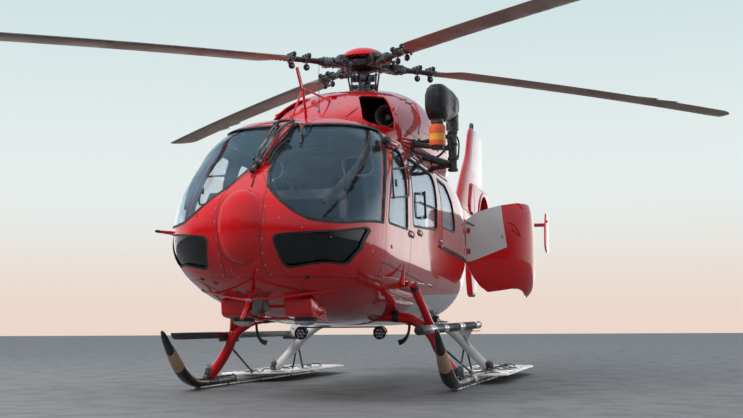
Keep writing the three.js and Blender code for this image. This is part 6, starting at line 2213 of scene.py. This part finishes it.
def tail_fan():
    stator = Part("duct_stator_detail", "airframe", "dark_metal", "black_paint", "steel", "red",
                  slot="dark_metal", replaces=("duct_stator",))
    stator.matrix = FAN_PLACE
    stator.turned([(0, -0.134), (0.06, -0.134), (0.08, -0.13), (0.112, -0.1), (0.124, -0.07), (0.125, -0.025),
                   (0.11, -0.0245), (0, -0.0245)], finish=3, segments=56)
    for a in all_round(8):
        stator.rod((0.09 * math.cos(a), 0.09 * math.sin(a), -0.128),
                   (0.09 * math.cos(a), 0.09 * math.sin(a), -0.112), 0.007, 2, segments=6)
        stator.matrix = FAN_PLACE @ Matrix.Rotation(a + 0.2, 4, "Z")
        rings = []
        for r in np.linspace(0.1, 0.5735, 9):
            lean = 0.02 * (r - 0.1)
            rings.append([Vector((r, 0.013 * v + lean, -0.034 - 0.076 * u)) for u, v in both_faces(WING)])
        stator.take(loft(rings), 0)
        stator.matrix = FAN_PLACE
    stator.done()

    fan = Part("tail_fan_detail", "tail_rotor", "black_paint", "grey_metal", "steel",
               slot="dark_metal", replaces=("tail_fan",))
    fan.matrix = FAN_PLACE
    fan.turned([(0, -0.013), (0.13, -0.013), (0.139, -0.004), (0.139, 0.052), (0.125, 0.075), (0.09, 0.1),
                (0.045, 0.113), (0, 0.117)], finish=1, segments=60)
    for a in all_round(FAN_BLADES):
        fan.matrix = FAN_PLACE @ Matrix.Rotation(a, 4, "Z")
        fan.rod((0.12, 0, 0.028), (0.175, 0, 0.028), 0.02, 2, end_radius=0.014, segments=16)
        rings = []
        for r in np.linspace(0.15, 0.559, 12):
            t = (r - 0.15) / 0.409
            pitch = 0.72 - 0.34 * t
            chord = 0.05 + 0.042 * min(1.0, t * 5) - 0.006 * t
            ring = []
            for u, v in both_faces(WING):
                along, out = chord * (0.42 - u), 0.011 * v
                ring.append(Vector((r, along * math.cos(pitch) - out * math.sin(pitch),
                                    0.028 + along * math.sin(pitch) + out * math.cos(pitch))))
            rings.append(ring)
        fan.take(loft(rings), 0)
        fan.rod((0.105, 0, 0.07), (0.105, 0, 0.098), 0.008, 2, segments=6)
    fan.done()


def stabilisers():
    for side, sign in SIDES:
        wing = loft([wing_ring(-5.9, -6.32, 0.056, lambda x, z, y=y: (x, sign * y, 2.11 + z))
                     for y in np.linspace(0.1, 1.292, 14)])
        mesh = combine(wing, ("DIFFERENCE", body_loft(BOOM, -CLEAR, 60, 64)),
                       ("DIFFERENCE", prism(grown(SHROUD, CLEAR), "y", -SHROUD_HALF - CLEAR,
                                            SHROUD_HALF + CLEAR)))
        part = Part(f"stabiliser_{side}_skin", "airframe", "red", "rubber", "steel", "black",
                    "grey_metal", slot="red_paint", replaces=(f"stabiliser_{side}",))
        part.shape(mesh, 0)
        part.slab(rounded(END_PLATE, 0.05, 6), "y", sign * 1.3 - 0.0135, sign * 1.3 + 0.0135, 0, 0.01)
        for y in (0.45, 0.8, 1.1):
            for k in range(7):
                x = -5.97 - 0.05 * k
                thick = 0.056 * np.interp((-5.9 - x) / 0.42, [a for a, _ in WING], [b for _, b in WING])
                part.turned([(0, -0.001), (0.0035, -0.001), (0.003, 0.0012), (0, 0.0015)],
                            (x, sign * y, 2.11 + thick), (0, 0, 1), 2, 8)
        part.tube([(-6.22, sign * 0.3, 2.121), (-6.22, sign * 1.28, 2.121)], 0.0015, 1, 6)
        part.box((-6.36, sign * 0.6 - 0.002, 2.1), (-6.3, sign * 0.6 + 0.3, 2.112), 4, 0.001)
        for y in (0.5, 0.95):
            part.rod((-6.3, sign * y, 2.11), (-6.42, sign * y, 2.105), 0.003, 3, segments=6)
        part.turned([(0, 0), (0.02, 0), (0.02, 0.012), (0.012, 0.022), (0, 0.024)],
                    (-5.99, sign * 1.3135, 2.16), (0, sign, 0), 4, 20)
        part.done()


# Fairing behind the boom's end, same columns as the body stations
TAIL_TAPER = [
    (-6.12, 1.9665, 2.3725, 0.192, 2.17, 2, 2), (-6.3, 1.965, 2.366, 0.1875, 2.167, 2, 2),
    (-6.42, 1.975, 2.358, 0.172, 2.167, 2, 2), (-6.55, 2.005, 2.33, 0.142, 2.167, 2, 2),
    (-6.66, 2.05, 2.285, 0.108, 2.167, 2, 2), (-6.73, 2.1, 2.235, 0.07, 2.167, 2, 2),
]


def tail_root():
    """Fairings that carry the boom's skin into the duct and the fin's leading edge down to the boom."""
    part = Part("tail_root_fairing", "airframe", "red", slot="red_paint")
    part.take(body_loft(TAIL_TAPER, rings=30, around=64))
    rings = [wing_ring(lead, -8.05, 0.2, lambda x, y, z=z: (x, y, z))
             for z, lead in ((2.28, -4.95), (2.37, -5.16), (2.4, -5.27), (2.43, -5.37), (2.46, -5.46))]
    root = combine(loft(rings), ("INTERSECT", block((-6.5, -0.3, 2.2), (-4.8, 0.3, 2.6))))
    part.shape(root)
    part.done()


tail_boom()
tail_fin()
tail_root()
tail_fan()
stabilisers()


# Wipers, window frames, door hardware, rails and other trim on the skin
def lifted(point, lift, guide=None):
    """The nearest place on the skin, moved off it."""
    near, normal, *_ = (guide or hull_guide)[0].find_nearest(Vector(point))
    return near + normal * lift


def skin_line(points, lift=0.003, steps=6):
    """A smooth course laid along the skin."""
    return [lifted(p, lift) for p in smooth_path([lifted(p, lift) for p in points], steps)]


def wipers():
    wiper = Part("windshield_wipers", "airframe", "black", "black_paint", "steel", "rubber", "red",
                 slot="black_plastic")
    base = lifted((3.1, -0.022, 1.79), 0.03)
    wiper.ball(base, 0.034, 0, (1, 1, 0.8), 20)
    wiper.rod(lifted((3.1, -0.022, 1.79), -0.01), base, 0.026, 0, segments=20)
    wiper.ball(lifted((3.19, -0.026, 1.73), 0.024), 0.026, 0, (1, 1, 0.8), 18)
    wiper.rod(base, lifted((3.19, -0.026, 1.73), 0.03), 0.014, 1, segments=14)
    for low_y, high_y, lift in ((-0.05, -0.072, 0.05), (0.0, 0.045, 0.055)):
        course = [base, lifted((2.95, low_y - 0.008, 1.9), lift), lifted((2.78, low_y, 2.02), lift + 0.01),
                  lifted((2.6, (low_y + high_y) / 2, 2.13), lift), lifted((2.42, high_y, 2.25), 0.03)]
        wiper.tube(course, [0.015, 0.013, 0.011, 0.01, 0.008], 1, 12)
        # Second link beside the arm, and the spring between them
        twin = [p + Vector((0, 0.028, 0.004)) for p in course[:4]]
        wiper.tube(twin, 0.0055, 1, 8)
        wiper.tube([course[1], (course[1] + course[2]) / 2 + Vector((0, 0.012, 0.012)), course[2]], 0.009, 2,
                   10)
        # Blade: a spine with its claws and rubber, laid beside the arm
        side = -1 if low_y < 0 else 1
        spine = [lifted((3.02, low_y + side * 0.03, 1.845), 0.022),
                 lifted((2.8, low_y + side * 0.035, 2.0), 0.03),
                 lifted((2.6, high_y + side * 0.02, 2.13), 0.028),
                 lifted((2.44, high_y + side * 0.01, 2.24), 0.02)]
        wiper.tube(spine, 0.008, 0, 10)
        path = smooth_path(spine, 6)
        for k, spot in enumerate(path[1:-1]):
            if k % 3 == 0:
                wiper.rod(spot, lifted(spot, 0.004), 0.005, 1, segments=8)
        wiper.tube([lifted(p, 0.006) for p in path], 0.0055, 3, 6, 1)
    # Cross piece where both arms are parked under the roof edge
    wiper.tube([lifted((2.47, -0.12, 2.22), 0.016), lifted((2.44, -0.04, 2.243), 0.03),
                lifted((2.43, 0.06, 2.248), 0.02)], 0.013, 1, 12)
    wiper.tube([lifted((2.43, -0.08, 2.25), 0.03), lifted((2.5, -0.06, 2.2), 0.045),
                lifted((2.62, -0.05, 2.125), 0.05)], 0.01, 0, 10)
    # Bowed tube beside the arms, ending in a small ball
    bow = skin_line([(3.08, 0.045, 1.8), (3.0, 0.058, 1.86), (2.91, 0.055, 1.92), (2.82, 0.068, 1.985),
                     (2.755, 0.112, 2.035)], 0.016)
    wiper.tube(bow, 0.0075, 0, 10, 1)
    wiper.ball(bow[-1], 0.02, 0, segments=16)
    for spot in (bow[3], bow[len(bow) // 2], bow[-5]):
        wiper.rod(lifted(spot, -0.004), spot, 0.009, 1, segments=10)
    # Wire guard of three short arms on the port windshield's upper edge
    fork = lifted((2.58, 0.172, 2.152), 0.03)
    for end, radius in (((2.46, 0.085, 2.232), 0.007), ((2.5, 0.215, 2.2), 0.007),
                        ((2.77, 0.215, 2.02), 0.008)):
        foot = lifted(end, 0.006)
        wiper.tube([fork, (fork + foot) / 2 + Vector((0.006, 0, 0.012)), foot], radius, 1, 10)
        wiper.turned([(0, -0.002), (0.014, -0.002), (0.013, 0.004), (0, 0.006)], lifted(end, 0.002),
                     lifted(end, 1.0) - lifted(end, 0.0), 3, 14)
    wiper.ball(fork, 0.015, 4, segments=14)
    # Washer hose down the centre post
    wiper.tube(skin_line([(3.19, -0.026, 1.73), (3.28, 0.02, 1.65), (3.36, 0.035, 1.58)], 0.006), 0.0045, 3,
               8, 1)
    wiper.done()


def inside_line(points, depth, steps=6):
    """A smooth course kept under the outer skin by a depth."""
    return [lifted(p, -depth) for p in smooth_path([lifted(p, -depth) for p in points], steps)]


def windshield_bands():
    """The dark curved frame that runs inside each windshield, from the roof to the panel."""
    band = Part("windshield_inner_frames", "airframe", "black", "rubber", "steel", slot="black_plastic")
    course = [(2.06, 0.6, 2.27), (2.2, 0.665, 2.185), (2.4, 0.7, 2.05), (2.6, 0.7, 1.915), (2.8, 0.68, 1.785),
              (2.98, 0.64, 1.67), (3.13, 0.6, 1.56), (3.24, 0.56, 1.48)]
    half = [0.026, 0.034, 0.036, 0.034, 0.031, 0.028, 0.025, 0.02]
    for _, sign in SIDES:
        path = inside_line([(x, sign * y, z) for x, y, z in course], 0.028)
        widths = np.interp(np.linspace(0, len(half) - 1, len(path)), range(len(half)), half)
        rings = []
        for k, (centre, width) in enumerate(zip(path, widths)):
            ahead = (path[min(k + 1, len(path) - 1)] - path[max(k - 1, 0)]).normalized()
            out = (lifted(centre, 1.0) - lifted(centre, 0.0)).normalized()
            side = ahead.cross(out).normalized()
            rings.append([centre + side * width * math.cos(a) + out * 0.011 * math.sin(a)
                          for a in all_round(16)])
        bm = loft(rings)
        bmesh.ops.recalc_face_normals(bm, faces=bm.faces[:])
        band.take(bm, 0)
        for spot in path[3::6]:
            band.turned([(0, 0), (0.007, 0), (0.006, 0.003), (0, 0.004)], lifted(spot, -0.032),
                        (lifted(spot, 1.0) - lifted(spot, 0.0)).normalized(), 2, 10)
    band.done()


def skin_frame(part, corners, sign, half_width, depth, finish_index, corner=0.04, lift=0.0):
    """A flat-sided frame that follows the skin round an outline given in side view."""
    outline = rounded(corners, corner)
    points = []
    for k, (x, z) in enumerate(outline):
        x2, z2 = outline[(k + 1) % len(outline)]
        count = max(1, int(math.hypot(x2 - x, z2 - z) / 0.06))
        points += [(x + (x2 - x) * j / count, z + (z2 - z) * j / count) for j in range(count)]
    placed = [on_side(x, z, sign, True) for x, z in points]
    rings = []
    for k, (spot, out) in enumerate(placed):
        ahead = (placed[(k + 1) % len(placed)][0] - placed[k - 1][0]).normalized()
        side = ahead.cross(out).normalized()
        rings.append([spot + side * half_width * a + out * (depth * b + lift)
                      for a, b in ((-1, -1), (-1, 0.6), (-0.7, 1), (0.7, 1), (1, 0.6), (1, -1))])
    bm = bmesh.new()
    rows = [[bm.verts.new(v) for v in ring] for ring in rings]
    for first, second in zip(rows, rows[1:] + rows[:1]):
        for j in range(6):
            bm.faces.new((first[j], first[(j + 1) % 6], second[(j + 1) % 6], second[j]))
    bmesh.ops.recalc_face_normals(bm, faces=bm.faces[:])
    part.take(bm, finish_index)


def door_hardware():
    for side, sign in SIDES:
        door = Part(f"crew_door_hardware_{side}", f"crew_door_{side}_body", "black", "red", "steel",
                    "rubber", slot="black_plastic")
        # Sliding vent pane's frame in the crew window, with its catch
        skin_frame(door, [(2.24, 1.86), (1.66, 1.95), (1.72, 1.69), (2.3, 1.61)], sign, 0.008, 0.006, 0,
                   0.045)
        spot, out = on_side(2.2, 1.74, sign, True)
        door.box((-0.012, -0.03, -0.004), (0.012, 0.03, 0.012), 0, 0.004,
                 standing(spot + out * 0.008, out))
        # Flush handle: recess ring, lever and lock
        spot, out = on_side(1.66, 1.36, sign, True)
        door.matrix = standing(spot, out)
        door.box((-0.1, -0.032, -0.004), (0.1, 0.032, 0.0025), 3, 0.01)
        door.box((-0.085, -0.017, 0.0), (0.07, 0.017, 0.014), 1, 0.007)
        door.turned([(0, 0), (0.014, 0), (0.013, 0.008), (0, 0.009)], (0.086, 0, 0.002), (0, 0, 1), 2, 16)
        door.matrix = Matrix.Identity(4)
        for z in (1.2, 1.62):
            spot, out = on_side(2.38, z, sign, True)
            door.box((-0.02, -0.016, -0.003), (0.02, 0.016, 0.009), 1, 0.004, standing(spot, out))
        door.done()

        slide = Part(f"sliding_door_hardware_{side}", "airframe", "black", "red", "steel", "rubber",
                     "grey_metal", slot="black_plastic")
        # Split line across the window, and the bent grab handle beside it
        bar = [on_side(x, 1.69 + 0.02 * (1.2 - x), sign) for x in np.linspace(1.27, 0.47, 9)]
        slide.tube([p + Vector((0, sign * 0.002, 0)) for p in bar], 0.006, 0, 8, 2)
        grip = []
        for x, z, off in ((1.12, 1.78, 0.0), (1.15, 1.785, 0.028), (1.2, 1.775, 0.034), (1.215, 1.72, 0.036),
                          (1.215, 1.62, 0.036), (1.2, 1.565, 0.034), (1.15, 1.555, 0.028), (1.12, 1.56, 0.0)):
            spot, out = on_side(x, z, sign, True)
            grip.append(spot + out * off)
        slide.tube(grip, 0.011, 0, 12, 4)
        for x, z in ((1.12, 1.78), (1.12, 1.56)):
            spot, out = on_side(x, z, sign, True)
            slide.turned([(0, -0.002), (0.022, -0.002), (0.02, 0.005), (0, 0.007)], spot, out, 0, 18)
        # Door handles below the windows
        for x in (1.3, 0.3):
            spot, out = on_side(x, 1.4, sign, True)
            slide.matrix = standing(spot, out)
            slide.box((-0.09, -0.03, -0.003), (0.09, 0.03, 0.0025), 3, 0.01)
            slide.box((-0.075, -0.015, 0.0), (0.06, 0.015, 0.014), 1, 0.006)
            slide.turned([(0, 0), (0.012, 0), (0.011, 0.007), (0, 0.008)], (0.076, 0, 0.002), (0, 0, 1), 2,
                         14)
            slide.matrix = Matrix.Identity(4)
        # Slide rail behind the door, with end stops and rollers
        rail = [on_side(x, z, sign)
                for x, z in zip(np.linspace(0.36, -1.3, 12), np.linspace(1.345, 1.292, 12))]
        out = Vector((0, sign, 0))
        for dz in (-0.014, 0.014):
            slide.tube([p + Vector((0, 0, dz)) + out * 0.004 for p in rail], 0.0065, 0, 8, 2)
        slide.tube([p + out * 0.001 for p in rail], 0.009, 3, 8, 2)
        slide.rod(rail[0] + out * 0.006 + Vector((0.02, 0, 0)), rail[0] + out * 0.006 + Vector((-0.07, 0, 0)),
                  0.017, 1, segments=18)
        slide.rod(rail[-1] + out * 0.005, rail[-1] + out * 0.005 + Vector((-0.03, 0, 0)), 0.016, 4,
                  segments=16)
        # Upper rail over the door
        high = [on_side(x, 2.125, sign) + out * 0.003 for x in np.linspace(1.32, -0.62, 12)]
        slide.tube(high, 0.007, 4, 8, 2)
        # Long sill strake with its fasteners
        sill = [on_side(x, z, sign) for x, z in zip(np.linspace(2.6, 0.5, 14), np.linspace(1.07, 0.935, 14))]
        slide.tube([p + out * 0.001 for p in sill], 0.004, 3, 6, 2)
        for k in range(24):
            spot, normal = on_side(2.55 - 0.085 * k, 1.085 - 0.0054 * k, sign, True)
            slide.turned([(0, -0.001), (0.0055, -0.001), (0.0045, 0.0016), (0, 0.002)], spot, normal, 2, 8)
        slide.done()


def roof_and_nose_probes():
    trim = Part("nose_probes_and_lamps", "airframe", "red", "black", "steel", "rubber", "grey_metal",
                "dark_metal", "cloth", slot="red_paint")
    # Air-data probe on the starboard cheek
    root, out = on_side(2.72, 1.33, -1, True)
    tip = Vector((3.0, -0.885, 1.323))
    bend = root + out * 0.05 + Vector((0.04, 0, 0))
    trim.tube([root - out * 0.02, root + out * 0.03, bend, (bend + tip) / 2, tip],
              [0.02, 0.019, 0.017, 0.014, 0.012], 0, 16)
    trim.rod(tip, tip + (tip - bend).normalized() * 0.06, 0.0115, 1, segments=16)
    trim.turned([(0, -0.004), (0.036, -0.004), (0.032, 0.006), (0, 0.01)], root, out, 0, 24)
    for _, sign in SIDES:
        # Round static ports and drain holes
        for x, z in ((2.86, 1.2), (2.8, 1.14)):
            spot, normal = on_side(x, z, sign, True)
            trim.turned([(0.004, 0.001), (0.012, 0.001), (0.014, -0.001), (0, -0.001), (0, 0.0005)], spot,
                        normal, 2, 16)
    # Oval pod on the roof's port edge, black in front
    front, back = Vector((2.34, 0.8, 2.088)), Vector((1.8, 0.8, 2.118))
    length = (front - back).length
    trim.matrix = standing(back, front - back)
    trim.turned([(0, -0.03), (0.018, -0.02), (0.028, 0.03), (0.036, 0.14), (0.039, 0.3),
                 (0.038, length - 0.1), (0.0, length - 0.1)], finish=0, segments=32)
    trim.turned([(0, length - 0.11), (0.0385, length - 0.1), (0.038, length - 0.06), (0.031, length - 0.015),
                 (0.018, length + 0.003), (0, length + 0.008)], finish=1, segments=32)
    trim.matrix = Matrix.Identity(4)
    for share in (0.25, 0.7):
        spot = back + (front - back) * share
        trim.rod(lifted(spot, -0.004), spot, 0.018, 0, segments=14)
    # Small vents under the chin
    for x, y in ((3.24, -0.3), (3.16, -0.14), (3.17, -0.06), (3.1, 0.34)):
        spot, normal = on_belly(x, y)
        trim.turned([(0.0, -0.002), (0.02, -0.002), (0.022, 0.003), (0.015, 0.004), (0.012, -0.001),
                     (0, -0.001)],
                    spot, normal, 5, 20)
    # Soft tie-down pouch hanging between the lamp boxes
    trim.tube([(3.05, -0.02, 0.8), (3.06, -0.03, 0.72), (3.05, -0.06, 0.66)], [0.05, 0.04, 0.022], 4, 14)
    trim.tube([(3.03, 0.0, 0.8), (3.03, 0.02, 0.73), (3.02, 0.05, 0.69)], [0.035, 0.03, 0.018], 4, 14)
    # Pointed fairings over the struts' upper ends
    for _, sign in SIDES:
        trim.rod((2.06, sign * 0.87, 0.9), (1.93, sign * 0.862, 1.08), 0.024, 0, end_radius=0.006,
                 segments=18)
    # Thin whip antenna on the cowling's front
    trim.rod((1.58, 0, 2.47), (1.58, 0, 2.53), 0.02, 4, end_radius=0.009, segments=16)
    trim.rod((1.58, 0, 2.52), (1.58, 0, 2.95), 0.0045, 4, end_radius=0.002, segments=10)
    trim.done()


wipers()
windshield_bands()
door_hardware()
roof_and_nose_probes()
